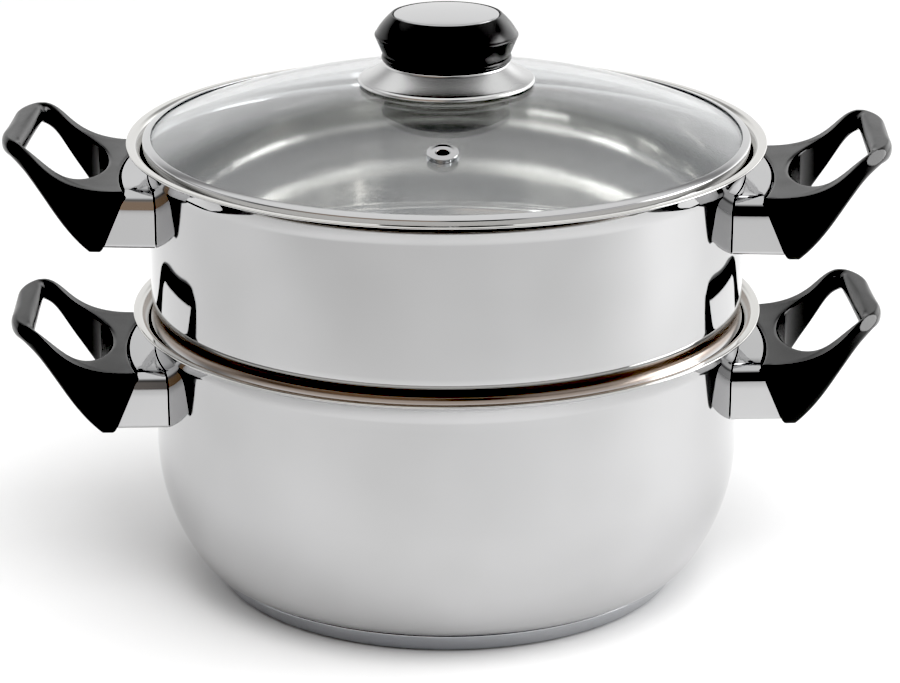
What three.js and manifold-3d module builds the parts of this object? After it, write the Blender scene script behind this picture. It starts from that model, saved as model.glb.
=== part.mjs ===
// Two-tier stovetop steamer: a bellied pot on an encapsulated base, a perforated steamer
// that nests in the pot's flared brim, and a domed glass lid with a knob.
// Millimetres, +Z up, origin under the middle of the base, pot handles along X.

import * as THREE from 'three';
import { mergeVertices } from 'three/addons/utils/BufferGeometryUtils.js';
import Module from 'manifold-3d';

const wasm = await Module();
wasm.setup();

// Sheet, clearances and fineness
const SHEET = 0.8;
const SEAT_GAP = 0.3;
const CUT_MARGIN = 2;
const BODY_SIDES = 48;
const KNOB_SIDES = 22;
const SMALL_SIDES = 10;

// Brim shared by pot and steamer: it follows the wall, flares outward and ends in a flat lip
const BRIM_REACH = 7.8;
const BRIM_HEIGHT = 8.5;
const BRIM_SWEEP = 3;
const BRIM_LIP = 3;

// Pot: height of its lip over the table, wall, and the belly that runs in to the foot
const POT_RIM_HEIGHT = 106.5;
const POT_WALL_RADIUS = 111.5;
const FOOT_RADIUS = 95.5;
const BELLY_HEIGHT = 47;
const BELLY_FULLNESS = 20.6;

// Encapsulated base: an aluminium core in a steel cap
const BASE_HEIGHT = 8;
const BASE_SETBACK = 2;
const BASE_TAPER = 5;
const BASE_EDGE = 1.2;

// Steamer: a bead pressed out of its wall rests in the pot's brim, between a neck and a spigot;
// its heights count from that seat
const STEAMER_OVERHANG = 0.8;
const STEAMER_WALL_HEIGHT = 68.6;
const BEAD_OVERHANG = 1.6;
const BEAD_SLOPE = 3.2;
const NECK_DEPTH = 1.9;
const NECK_HEIGHT = 3.2;
const NECK_TOP = 8;
const SPIGOT_CLEARANCE = 0.8;
const SPIGOT_DEPTH = 27.8;
const FLOOR_CORNER = 6;
const STEAM_HOLE_RADIUS = 3.5;
const STEAM_HOLE_PITCH = 28;
const STEAM_HOLE_RINGS = 3;
const STEAM_HOLE_SIDES = 6;
const STEAMER_TURN = THREE.MathUtils.degToRad(-4.5);

// Lid: a glass dome whose edge is held in a folded steel band
const BAND_OVERHANG = 1.8;
const BAND_SHEET = 0.6;
const BAND_HEIGHT = 4;
const BAND_COVER = 2.8;
const BAND_SKIRT = 6;
const SKIRT_CLEARANCE = 1;
const GLASS_THICKNESS = 4;
const GLASS_EDGE_SLANT = 2.6;
const DOME_RISE = 22.4;

// Steam vent: an eyelet through the glass, set in from its edge
const VENT_INSET = 39.2;
const VENT_ANGLE = THREE.MathUtils.degToRad(-93.3);
const VENT_HOLE_RADIUS = 2;
const VENT_TUBE_RADIUS = 3.5;
const VENT_FLANGE_RADIUS = 5.8;
const VENT_FLANGE_THICKNESS = 0.8;

// Knob: a spun steel base on the glass, a moulded knob, a steel disc let into its top
const KNOB_BASE_RADIUS = 33.5;
const KNOB_BASE_HEIGHT = 8;
const KNOB_BASE_LIP = 1.6;
const KNOB_NECK_RADIUS = 23.7;
const KNOB_RADIUS = 27.2;
const KNOB_HEIGHT = 17.2;
const KNOB_BELT_HEIGHT = 9.6;
const KNOB_BELT = 0.8;
const KNOB_SHOULDER_FULLNESS = 0.6;
const KNOB_TOP_LIP = 0.6;
const KNOB_BEAD = 0.6;
const KNOB_BEAD_HEIGHT = 2;
const KNOB_DISC_RADIUS = 19.9;
const KNOB_DISC_THICKNESS = 1.6;
const KNOB_DISC_CROWN = 0.7;
const KNOB_DISC_PIN_RADIUS = 2.5;
const KNOB_DISC_PIN_LENGTH = 3;

// Knob fastening: a screw from under the glass into an insert moulded in the knob
const KNOB_SCREW_RADIUS = 2.5;
const KNOB_SCREW_HEAD_RADIUS = 5;
const KNOB_SCREW_FACE_RADIUS = 4.2;
const KNOB_SCREW_HEAD_HEIGHT = 2.6;
const KNOB_INSERT_RADIUS = 5;
const KNOB_INSERT_LENGTH = 9;
const GLASS_BORE_CLEARANCE = 1.5;
const SEAL_RADIUS = 11;
const SEAL_THICKNESS = 1.5;
const WASHER_RADIUS = 9;
const WASHER_THICKNESS = 1;

// Handle: height of its level under the brim, the steel flame guard and the moulded loop
const POT_HANDLE_DROP = 15.3;
const STEAMER_HANDLE_DROP = 13;
const GUARD_WIDTH = 73.4;
const GUARD_HEIGHT = 21.7;
const GUARD_SHEET = 1;
const GUARD_TOP_LENGTH = 9.7;
const GUARD_SLANT = 0.41;
const GUARD_TOP_ROUND = 4.5;
const GUARD_SIDE_ROUND = 9;
const GUARD_BOTTOM_ROUND = 1.4;
const GRIP_WIDTH = 74;
const GRIP_REACH = 53.2;
const GRIP_RISE = 16.8;
const GRIP_SKIRT = 1.5;
const GRIP_CORNER_REACH = 18;
const GRIP_CORNER_WIDTH = 24;
const GRIP_EDGE = 2;
const GRIP_ARM = 7.6;
const GRIP_ROOT = 6.7;
const BAR_DEPTH = 8.9;
const BAR_NOSE = 4.7;
const BAR_THICKNESS = 6.3;
const DECK_SWEEP_START = 10.5;
const DECK_SWEEP_END = 13;
const KEEL_START = 18.7;
const KEEL_FLAT_RUN = 14.4;
const KEEL_FLAT_RISE = 11.7;
const KEEL_END_RUN = 10.8;
const KEEL_END_RISE = 3.2;
const OPENING_ROUND = 16;
const OPENING_CORNER = 5;
const LUG_DEPTH = 3;

// Handle fastening: a stud welded to the wall and a screw from inside the loop
const STUD_DROP = 10;
const STUD_RADIUS = 6;
const STUD_PAD_RADIUS = 8;
const STUD_PAD_THICKNESS = 2;
const GRIP_SCREW_RADIUS = 2.5;
const GRIP_SCREW_HEAD_RADIUS = 4.2;
const GRIP_SCREW_FACE_RADIUS = 3.8;
const GRIP_SCREW_HEAD_HEIGHT = 2.4;
const GRIP_SCREW_SEAT = 3.6;
const GRIP_SCREW_REACH = 8;

const STEEL = { color: 0xc9c9c7, roughness: 0.12, metalness: 1 };
const ALUMINIUM = { color: 0xb9bcc0, roughness: 0.4, metalness: 1 };
const BAKELITE = { color: 0x141414, roughness: 0.28, metalness: 0 };
const GLASS = { color: 0xc8d2cc, roughness: 0.04, metalness: 0, transparent: true, opacity: 0.35 };
const SILICONE = { color: 0xd8d6d0, roughness: 0.6, metalness: 0 };
const BRASS = { color: 0xb89a55, roughness: 0.35, metalness: 1 };

// Solids: a closed geometry becomes a solid that can be joined and cut, and back again
function toSolid(geometry) {
  const bare = geometry.clone();
  bare.deleteAttribute('normal');
  bare.deleteAttribute('uv');
  const merged = mergeVertices(bare, 1e-4);
  const corners = merged.index.array;
  const triangles = [];
  for (let i = 0; i < corners.length; i += 3) {
    const [a, b, c] = corners.slice(i, i + 3);
    const collapsed = a === b || b === c || c === a;
    if (!collapsed) triangles.push(a, b, c);
  }
  const vertProperties = new Float32Array(merged.attributes.position.array);
  const triVerts = new Uint32Array(triangles);
  return new wasm.Manifold(new wasm.Mesh({ numProp: 3, vertProperties, triVerts }));
}

function toMesh(name, solid, look) {
  const { vertProperties, triVerts } = solid.getMesh();
  const geometry = new THREE.BufferGeometry();
  geometry.setAttribute('position', new THREE.BufferAttribute(vertProperties, 3));
  geometry.setIndex(new THREE.BufferAttribute(triVerts, 1));
  geometry.computeVertexNormals();
  const mesh = new THREE.Mesh(geometry, new THREE.MeshStandardMaterial(look));
  mesh.name = name;
  return mesh;
}

// A profile of [radius, height] points turned about Z; it runs from axis to axis
function turned(profile, sides) {
  const points = profile.map(([radius, height]) => new THREE.Vector2(radius, height));
  return toSolid(new THREE.LatheGeometry(points, sides).rotateX(Math.PI / 2));
}

// The same for a ring, whose profile closes on itself
function turnedRing(profile, sides) {
  return turned([...profile, profile[0]], sides);
}

// A turned piece laid along +X, so that its profile's heights become distances outward
function turnedAlongX(profile, sides) {
  const points = profile.map(([radius, height]) => new THREE.Vector2(radius, height));
  return toSolid(new THREE.LatheGeometry(points, sides).rotateZ(-Math.PI / 2));
}

function cylinder(radius, bottom, top, sides) {
  return turned([[0, bottom], [radius, bottom], [radius, top], [0, top]], sides);
}

// Points of a quadratic or cubic curve, without its first point
function bend(controls, steps) {
  const vectors = controls.map(([x, y]) => new THREE.Vector2(x, y));
  const curve = vectors.length === 3
    ? new THREE.QuadraticBezierCurve(...vectors)
    : new THREE.CubicBezierCurve(...vectors);
  return curve.getPoints(steps).slice(1).map((point) => [point.x, point.y]);
}

// The path on the other side of a sheet: each point moved square to the path
function offsetPath(path, distance) {
  return path.map((point, i) => {
    const before = path[Math.max(i - 1, 0)];
    const after = path[Math.min(i + 1, path.length - 1)];
    const arrive = new THREE.Vector2(point[0] - before[0], point[1] - before[1]);
    const leave = new THREE.Vector2(after[0] - point[0], after[1] - point[1]);
    if (i === 0) arrive.copy(leave);
    if (i === path.length - 1) leave.copy(arrive);
    arrive.normalize();
    leave.normalize();
    const along = arrive.clone().add(leave).normalize();
    const mitre = distance / along.dot(arrive);
    return [point[0] - along.y * mitre, point[1] + along.x * mitre];
  });
}

// The height at which a path that widens upward reaches a radius
function heightAt(path, radius) {
  const i = path.findIndex((point, k) => k > 0 && point[0] >= radius && path[k - 1][0] < radius);
  const [low, high] = [path[i - 1], path[i]];
  const share = (radius - low[0]) / (high[0] - low[0]);
  return low[1] + share * (high[1] - low[1]);
}

// Outer side of a brim: it leaves the wall upright, flares outward and ends in the flat lip
function brimPath(wallRadius, rimHeight) {
  const lipHeight = rimHeight - SHEET;
  const start = lipHeight - BRIM_HEIGHT;
  const flareControls = [
    [wallRadius, start],
    [wallRadius, start + BRIM_SWEEP],
    [wallRadius + BRIM_REACH - BRIM_LIP, lipHeight],
  ];
  return [flareControls[0], ...bend(flareControls, 3), [wallRadius + BRIM_REACH, lipHeight]];
}

// A pressed vessel: the outer path, then the inner path back to the axis
function vessel(outerPath) {
  const innerPath = offsetPath(outerPath, SHEET);
  return turned([...outerPath, ...innerPath.reverse()], BODY_SIDES);
}

// Pot
const potBottom = BASE_HEIGHT + SEAT_GAP;
const bellyTop = potBottom + BELLY_HEIGHT;
const bellyControls = [
  [FOOT_RADIUS, potBottom],
  [POT_WALL_RADIUS, potBottom + BELLY_FULLNESS],
  [POT_WALL_RADIUS, bellyTop],
];
const potBrim = brimPath(POT_WALL_RADIUS, POT_RIM_HEIGHT);
const potSeat = offsetPath(potBrim, SHEET + SEAT_GAP);

function makePot() {
  const outerPath = [[0, potBottom], [FOOT_RADIUS, potBottom], ...bend(bellyControls, 5), ...potBrim];
  return toMesh('pot_body', vessel(outerPath), STEEL);
}

function baseCapPath() {
  const topRadius = FOOT_RADIUS - BASE_SETBACK;
  const footRadius = topRadius - BASE_TAPER;
  return [[0, 0], [footRadius - BASE_EDGE, 0], [footRadius, BASE_EDGE], [topRadius, BASE_HEIGHT]];
}

// A path whose last stretch is cut off level at a height
function levelledPath(path, height) {
  const [low, high] = path.slice(-2);
  const share = (height - low[1]) / (high[1] - low[1]);
  return [...path.slice(0, -1), [low[0] + share * (high[0] - low[0]), height]];
}

function makeBase() {
  const outerPath = baseCapPath();
  const innerPath = levelledPath(offsetPath(outerPath, SHEET), BASE_HEIGHT);
  const corePath = levelledPath(offsetPath(outerPath, SHEET + SEAT_GAP), BASE_HEIGHT);
  const cap = turned([...outerPath, ...innerPath.reverse()], BODY_SIDES);
  const core = turned([...corePath, [0, BASE_HEIGHT]], BODY_SIDES);
  return [toMesh('base_cap', cap, STEEL), toMesh('base_core', core, ALUMINIUM)];
}

// Steamer
const steamerWallRadius = POT_WALL_RADIUS + STEAMER_OVERHANG;
const spigotRadius = POT_WALL_RADIUS - SHEET - SPIGOT_CLEARANCE;
const beadRadius = POT_WALL_RADIUS + BEAD_OVERHANG;
const beadHeight = heightAt(potSeat, beadRadius);
const steamerFloor = beadHeight - SPIGOT_DEPTH;
const steamerRimHeight = beadHeight + STEAMER_WALL_HEIGHT;
const steamerBrim = brimPath(steamerWallRadius, steamerRimHeight);
const steamerSeat = offsetPath(steamerBrim, SHEET + SEAT_GAP);

// Steam holes: one in the middle and rings of six, twelve, eighteen and so on round it
function steamHoles() {
  const punchLength = SHEET + CUT_MARGIN * 2;
  const holeAt = (x, y) => {
    const hole = new THREE.CylinderGeometry(
      STEAM_HOLE_RADIUS, STEAM_HOLE_RADIUS, punchLength, STEAM_HOLE_SIDES,
    );
    return toSolid(hole.rotateX(Math.PI / 2).translate(x, y, steamerFloor + SHEET / 2));
  };
  let holes = holeAt(0, 0);
  for (let ring = 1; ring <= STEAM_HOLE_RINGS; ring += 1) {
    const count = 6 * ring;
    for (let k = 0; k < count; k += 1) {
      const angle = (k / count) * Math.PI * 2;
      const distance = ring * STEAM_HOLE_PITCH;
      holes = holes.add(holeAt(distance * Math.cos(angle), distance * Math.sin(angle)));
    }
  }
  return holes;
}

function makeSteamer() {
  const floorEdge = spigotRadius - FLOOR_CORNER;
  const cornerControls = [
    [floorEdge, steamerFloor],
    [spigotRadius, steamerFloor],
    [spigotRadius, steamerFloor + FLOOR_CORNER],
  ];
  const outerPath = [
    [0, steamerFloor],
    [floorEdge, steamerFloor],
    ...bend(cornerControls, 2),
    [spigotRadius, beadHeight - BEAD_SLOPE],
    [beadRadius, beadHeight],
    [steamerWallRadius - NECK_DEPTH, beadHeight + NECK_HEIGHT],
    [steamerWallRadius, beadHeight + NECK_TOP],
    ...steamerBrim,
  ];
  return toMesh('steamer_body', vessel(outerPath).subtract(steamHoles()), STEEL);
}

// Handles: built with X running outward from the wall and Z from the top of the guard
function extrudedAlongX(shape, start, end) {
  const basis = new THREE.Matrix4().makeBasis(
    new THREE.Vector3(0, 1, 0), new THREE.Vector3(0, 0, 1), new THREE.Vector3(1, 0, 0),
  );
  const geometry = new THREE.ExtrudeGeometry(shape, {
    depth: end - start, bevelEnabled: false, curveSegments: 2,
  });
  return toSolid(geometry.translate(0, 0, start).applyMatrix4(basis));
}

function extrudedAlongZ(shape, bottom, top) {
  const geometry = new THREE.ExtrudeGeometry(shape, {
    depth: top - bottom, bevelEnabled: false, curveSegments: 3,
  });
  return toSolid(geometry.translate(0, 0, bottom));
}

const gripBottom = -GUARD_HEIGHT - GRIP_SKIRT;
const screwSeat = GUARD_TOP_LENGTH + GUARD_SLANT * STUD_DROP + SEAT_GAP + GRIP_SCREW_SEAT;
const screwTip = screwSeat - SEAT_GAP - GRIP_SCREW_SEAT - GRIP_SCREW_REACH;

// The stud ends where the grip's lug would meet the thinnest part of the slanted joint
const studLength = GUARD_TOP_LENGTH + GUARD_SLANT * (STUD_DROP - STUD_RADIUS);

// Round solid about the vessel's axis whose slanted side is where guard and grip meet
function jointCone(wallRadius, extra) {
  const top = GRIP_RISE + CUT_MARGIN;
  const bottom = gripBottom - CUT_MARGIN;
  const radiusAt = (height) => wallRadius + GUARD_TOP_LENGTH - GUARD_SLANT * height + extra;
  const profile = [[0, bottom], [radiusAt(bottom), bottom], [radiusAt(top), top], [0, top]];
  return turned(profile, BODY_SIDES).translate([-wallRadius, 0, 0]);
}

// Section of the guard: a box whose upper edges round over gently, drawn in by the inset
function guardSection(inset) {
  const half = GUARD_WIDTH / 2 - inset;
  const top = -inset;
  const bottom = inset - GUARD_HEIGHT;
  const upper = GUARD_TOP_ROUND - inset;
  const side = GUARD_SIDE_ROUND - inset;
  const lower = Math.max(GUARD_BOTTOM_ROUND - inset, SEAT_GAP);
  const shape = new THREE.Shape();
  shape.absellipse(half - upper, top - side, upper, side, 0, Math.PI / 2);
  shape.absellipse(upper - half, top - side, upper, side, Math.PI / 2, Math.PI);
  shape.absarc(lower - half, bottom + lower, lower, Math.PI, Math.PI * 1.5);
  shape.absarc(half - lower, bottom + lower, lower, Math.PI * 1.5, Math.PI * 2);
  return shape;
}

// The vessel's wall with its clearance, as a cutter in the handle's own frame
function wallCutter(wallRadius) {
  const wall = cylinder(wallRadius + SEAT_GAP, gripBottom, GRIP_RISE, BODY_SIDES);
  return wall.translate([-wallRadius, 0, 0]);
}

// Box sleeve from behind the curve of the wall out to the slanted joint
function guardSleeve(wallRadius) {
  const behindWall = -GUARD_WIDTH / 4;
  const inside = guardSection(GUARD_SHEET);
  return extrudedAlongX(guardSection(0), behindWall, GRIP_REACH)
    .subtract(extrudedAlongX(inside, behindWall - CUT_MARGIN, GRIP_REACH + CUT_MARGIN))
    .intersect(jointCone(wallRadius, 0))
    .subtract(wallCutter(wallRadius));
}

// Side view of the loop: deck sweeping up to the bar, rounded nose, keel running back down
function gripSide() {
  const barMiddle = GRIP_REACH - BAR_NOSE;
  const barBottom = GRIP_RISE - BAR_THICKNESS;
  const shape = new THREE.Shape();
  shape.moveTo(0, gripBottom);
  shape.lineTo(KEEL_START, gripBottom);
  shape.bezierCurveTo(
    KEEL_START + KEEL_FLAT_RUN, gripBottom + KEEL_FLAT_RISE,
    barMiddle - KEEL_END_RUN, barBottom - KEEL_END_RISE,
    barMiddle, barBottom,
  );
  shape.absellipse(
    barMiddle, GRIP_RISE - BAR_THICKNESS / 2, BAR_NOSE, BAR_THICKNESS / 2, -Math.PI / 2, Math.PI / 2,
  );
  shape.bezierCurveTo(
    barMiddle - DECK_SWEEP_END, GRIP_RISE,
    barMiddle - DECK_SWEEP_START, 0,
    GUARD_TOP_LENGTH, 0,
  );
  shape.lineTo(0, 0);
  return shape;
}

// Loop seen from above: square against the joint, with wide elliptical corners at the bar
function gripOutline() {
  const half = GRIP_WIDTH / 2;
  const cornerX = GRIP_REACH - GRIP_CORNER_REACH;
  const cornerY = half - GRIP_CORNER_WIDTH;
  const shape = new THREE.Shape();
  shape.moveTo(0, half);
  shape.lineTo(0, -half);
  shape.absellipse(cornerX, -cornerY, GRIP_CORNER_REACH, GRIP_CORNER_WIDTH, -Math.PI / 2, 0);
  shape.absellipse(cornerX, cornerY, GRIP_CORNER_REACH, GRIP_CORNER_WIDTH, 0, Math.PI / 2);
  return shape;
}

// Finger opening: straight along the bar, round towards the root
function gripOpening() {
  const half = GRIP_WIDTH / 2 - GRIP_ARM;
  const barSide = GRIP_REACH - BAR_DEPTH;
  const roundMiddle = GUARD_TOP_LENGTH + GRIP_ROOT + OPENING_ROUND;
  const shape = new THREE.Shape();
  shape.absarc(barSide - OPENING_CORNER, OPENING_CORNER - half, OPENING_CORNER, -Math.PI / 2, 0);
  shape.absarc(barSide - OPENING_CORNER, half - OPENING_CORNER, OPENING_CORNER, 0, Math.PI / 2);
  shape.absellipse(roundMiddle, 0, OPENING_ROUND, half, Math.PI / 2, Math.PI * 1.5);
  return shape;
}

// Moulded loop: side view and outline cut each other, then the opening, lug and bores follow
function gripLoop(wallRadius) {
  const top = GRIP_RISE + CUT_MARGIN;
  const bottom = gripBottom - CUT_MARGIN;
  const side = new THREE.ExtrudeGeometry(gripSide(), {
    depth: GRIP_WIDTH - GRIP_EDGE * 2,
    bevelThickness: GRIP_EDGE,
    bevelSize: GRIP_EDGE,
    bevelOffset: -GRIP_EDGE,
    bevelSegments: 1,
    curveSegments: 5,
  });
  side.translate(0, 0, GRIP_EDGE - GRIP_WIDTH / 2).rotateX(Math.PI / 2);
  const finger = extrudedAlongZ(gripOpening(), bottom, top)
    .subtract(jointCone(wallRadius, GRIP_ROOT));
  const lug = extrudedAlongX(guardSection(GUARD_SHEET + SEAT_GAP), 0, KEEL_START)
    .intersect(jointCone(wallRadius, SEAT_GAP * 2))
    .subtract(jointCone(wallRadius, -LUG_DEPTH));
  const boreRadius = GRIP_SCREW_RADIUS + SEAT_GAP;
  const headRadius = GRIP_SCREW_HEAD_RADIUS + SEAT_GAP;
  const bore = turnedAlongX([
    [0, 0], [boreRadius, 0], [boreRadius, screwSeat], [headRadius, screwSeat],
    [headRadius, screwSeat + GRIP_ROOT], [0, screwSeat + GRIP_ROOT],
  ], SMALL_SIDES).translate([0, 0, -STUD_DROP]);
  const studRoom = turnedAlongX([
    [0, 0], [STUD_RADIUS + SEAT_GAP, 0],
    [STUD_RADIUS + SEAT_GAP, studLength + SEAT_GAP], [0, studLength + SEAT_GAP],
  ], SMALL_SIDES).translate([0, 0, -STUD_DROP]);
  return toSolid(side)
    .intersect(extrudedAlongZ(gripOutline(), bottom, top))
    .subtract(jointCone(wallRadius, SEAT_GAP))
    .subtract(finger)
    .add(lug)
    .subtract(bore)
    .subtract(studRoom);
}

// Stud with its welding pad, which takes the curve of the wall, and a blind bore for the screw
function wallStud(wallRadius) {
  const boreRadius = GRIP_SCREW_RADIUS + SEAT_GAP;
  const boreBottom = screwTip - SEAT_GAP;
  const blank = turnedAlongX([
    [0, -STUD_PAD_THICKNESS],
    [STUD_PAD_RADIUS, -STUD_PAD_THICKNESS],
    [STUD_PAD_RADIUS, STUD_PAD_THICKNESS],
    [STUD_RADIUS, STUD_PAD_THICKNESS],
    [STUD_RADIUS, studLength],
    [boreRadius, studLength],
    [boreRadius, boreBottom],
    [0, boreBottom],
  ], SMALL_SIDES);
  return blank.translate([0, 0, -STUD_DROP]).subtract(wallCutter(wallRadius));
}

function gripScrew() {
  const seat = screwSeat + SEAT_GAP;
  return turnedAlongX([
    [0, screwTip],
    [GRIP_SCREW_RADIUS, screwTip],
    [GRIP_SCREW_RADIUS, seat],
    [GRIP_SCREW_HEAD_RADIUS, seat],
    [GRIP_SCREW_FACE_RADIUS, seat + GRIP_SCREW_HEAD_HEIGHT],
    [0, seat + GRIP_SCREW_HEAD_HEIGHT],
  ], SMALL_SIDES).translate([0, 0, -STUD_DROP]);
}

// Both handles of one vessel, opposite each other
function makeHandles(vesselName, wallRadius, level, turn) {
  const pair = new THREE.Group();
  pair.rotation.z = turn;
  for (const [sideName, angle] of [['right', 0], ['left', Math.PI]]) {
    const place = new THREE.Group();
    place.rotation.z = angle;
    const handle = new THREE.Group();
    handle.position.set(wallRadius, 0, level);
    const name = (piece) => `${vesselName}_${piece}_${sideName}`;
    handle.add(toMesh(name('guard'), guardSleeve(wallRadius), STEEL));
    handle.add(toMesh(name('grip'), gripLoop(wallRadius), BAKELITE));
    handle.add(toMesh(name('stud'), wallStud(wallRadius), STEEL));
    handle.add(toMesh(name('screw'), gripScrew(), STEEL));
    place.add(handle);
    pair.add(place);
  }
  return pair;
}

// Lid: everything hangs on where the band rests on the steamer's brim
const bandRadius = steamerWallRadius + BAND_OVERHANG;
const bandBottom = heightAt(steamerSeat, bandRadius);
const bandTop = bandBottom + BAND_HEIGHT;
const skirtRadius = steamerWallRadius - SHEET - SKIRT_CLEARANCE;
const skirtTop = bandBottom - (bandRadius - skirtRadius);
const glassRadius = bandRadius - BAND_SHEET - SEAT_GAP;
const glassEdge = bandTop - BAND_SHEET - SEAT_GAP;
const domeTop = glassEdge + DOME_RISE;
const domeRadius = (glassRadius ** 2 + DOME_RISE ** 2) / (2 * DOME_RISE);
const domeMiddle = domeTop - domeRadius;
const ventDistance = glassRadius - VENT_INSET;

function domeHeight(radius, sphereRadius) {
  return domeMiddle + Math.sqrt(sphereRadius ** 2 - radius ** 2);
}

// Arc of the dome from the axis to its edge, with a point under each piece that seats on it
function domeArc(edgeRadius, sphereRadius) {
  const inner = (KNOB_BASE_RADIUS + ventDistance) / 2;
  const outer = (ventDistance + edgeRadius) / 2;
  const radii = [0, SEAL_RADIUS, KNOB_BASE_RADIUS, inner, ventDistance, outer, edgeRadius];
  return radii.map((radius) => [radius, domeHeight(radius, sphereRadius)]);
}

const ventTilt = Math.asin(ventDistance / domeRadius);

// Puts a piece made along Z at the vent's place, square to the glass
function atVent(solid) {
  const degrees = THREE.MathUtils.radToDeg;
  const x = ventDistance * Math.cos(VENT_ANGLE);
  const y = ventDistance * Math.sin(VENT_ANGLE);
  return solid
    .rotate([0, degrees(ventTilt), 0])
    .rotate([0, 0, degrees(VENT_ANGLE)])
    .translate([x, y, domeHeight(ventDistance, domeRadius)]);
}

function makeGlass() {
  const top = domeArc(glassRadius, domeRadius);
  const bottom = domeArc(glassRadius - GLASS_EDGE_SLANT, domeRadius - GLASS_THICKNESS);
  const knobBoreRadius = KNOB_SCREW_RADIUS + GLASS_BORE_CLEARANCE;
  const knobBore = cylinder(knobBoreRadius, glassEdge, domeTop + CUT_MARGIN, SMALL_SIDES);
  const ventBoreRadius = VENT_TUBE_RADIUS + SEAT_GAP;
  const ventBore = cylinder(ventBoreRadius, -GLASS_THICKNESS - CUT_MARGIN, CUT_MARGIN, SMALL_SIDES);
  const dome = turned([...bottom, ...top.reverse()], BODY_SIDES);
  return toMesh('lid_glass', dome.subtract(knobBore).subtract(atVent(ventBore)), GLASS);
}

// Folded band: skirt, slant under the glass, outer wall and the lip over the glass
function makeBand() {
  const skirtBottom = skirtTop - BAND_SKIRT;
  const lipRadius = bandRadius - BAND_COVER;
  const lipBottom = domeHeight(lipRadius, domeRadius) + SEAT_GAP;
  const band = turnedRing([
    [skirtRadius - BAND_SHEET, skirtBottom],
    [skirtRadius, skirtBottom],
    [skirtRadius, skirtTop],
    [bandRadius, bandBottom],
    [bandRadius, bandTop],
    [lipRadius, lipBottom + BAND_SHEET],
    [lipRadius, lipBottom],
    [bandRadius - BAND_SHEET, bandTop - BAND_SHEET],
    [bandRadius - BAND_SHEET, bandBottom + BAND_SHEET / 2],
    [skirtRadius - BAND_SHEET, skirtTop + BAND_SHEET / 2],
  ], BODY_SIDES);
  return toMesh('lid_band', band, STEEL);
}

function makeVent() {
  const over = SEAT_GAP;
  const under = -GLASS_THICKNESS - SEAT_GAP;
  const vent = turnedRing([
    [VENT_HOLE_RADIUS, under - VENT_FLANGE_THICKNESS],
    [VENT_FLANGE_RADIUS, under - VENT_FLANGE_THICKNESS],
    [VENT_FLANGE_RADIUS, under],
    [VENT_TUBE_RADIUS, under],
    [VENT_TUBE_RADIUS, over],
    [VENT_FLANGE_RADIUS, over],
    [VENT_TUBE_RADIUS, over + VENT_FLANGE_THICKNESS],
    [VENT_HOLE_RADIUS, over + VENT_FLANGE_THICKNESS],
  ], SMALL_SIDES);
  return toMesh('steam_vent', atVent(vent), STEEL);
}

// Knob, from the glass upward
const knobBaseRim = domeHeight(KNOB_BASE_RADIUS, domeRadius) + SEAT_GAP;
const knobBaseTop = knobBaseRim + KNOB_BASE_HEIGHT;
const knobBottom = knobBaseTop + SEAT_GAP;
const knobTop = knobBottom + KNOB_HEIGHT;
const knobDiscSeat = knobTop - KNOB_DISC_THICKNESS;

function makeKnobBase() {
  const sideControls = [
    [KNOB_BASE_RADIUS, knobBaseRim + KNOB_BASE_LIP],
    [KNOB_NECK_RADIUS, knobBaseRim + KNOB_BASE_LIP],
    [KNOB_NECK_RADIUS, knobBaseTop],
  ];
  const outerPath = [
    [KNOB_BASE_RADIUS, knobBaseRim],
    sideControls[0],
    ...bend(sideControls, 4),
    [KNOB_SCREW_RADIUS + SEAT_GAP, knobBaseTop],
  ];
  const innerPath = offsetPath(outerPath, SHEET);
  return toMesh('knob_base', turnedRing([...outerPath, ...innerPath.reverse()], KNOB_SIDES), STEEL);
}

function makeKnob() {
  const beltLow = knobBottom + KNOB_BELT_HEIGHT - KNOB_BELT / 2;
  const beltHigh = beltLow + KNOB_BELT;
  const pocketRadius = KNOB_INSERT_RADIUS + SEAT_GAP;
  const pocketTop = knobBottom + KNOB_INSERT_LENGTH + SEAT_GAP * 2;
  const discRoom = KNOB_DISC_RADIUS + SEAT_GAP;
  const discFloor = knobDiscSeat - SEAT_GAP;
  const pinRoom = KNOB_DISC_PIN_RADIUS + SEAT_GAP;
  const pinFloor = discFloor - KNOB_DISC_PIN_LENGTH - SEAT_GAP;
  const topRadius = discRoom + KNOB_TOP_LIP;
  const shoulderMiddle = [
    (KNOB_RADIUS + topRadius) / 2 + KNOB_SHOULDER_FULLNESS,
    (beltHigh + knobTop) / 2 + KNOB_SHOULDER_FULLNESS,
  ];
  const shoulderControls = [[KNOB_RADIUS, beltHigh], shoulderMiddle, [topRadius, knobTop]];
  const knob = turned([
    [0, pocketTop],
    [pocketRadius, pocketTop],
    [pocketRadius, knobBottom],
    [KNOB_NECK_RADIUS, knobBottom],
    [KNOB_NECK_RADIUS + KNOB_BEAD, knobBottom + KNOB_BEAD_HEIGHT / 2],
    [KNOB_NECK_RADIUS, knobBottom + KNOB_BEAD_HEIGHT],
    [KNOB_RADIUS, beltLow],
    [KNOB_RADIUS, beltHigh],
    ...bend(shoulderControls, 3),
    [discRoom, knobTop],
    [discRoom, discFloor],
    [pinRoom, discFloor],
    [pinRoom, pinFloor],
    [0, pinFloor],
  ], KNOB_SIDES);
  return toMesh('knob', knob, BAKELITE);
}

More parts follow.
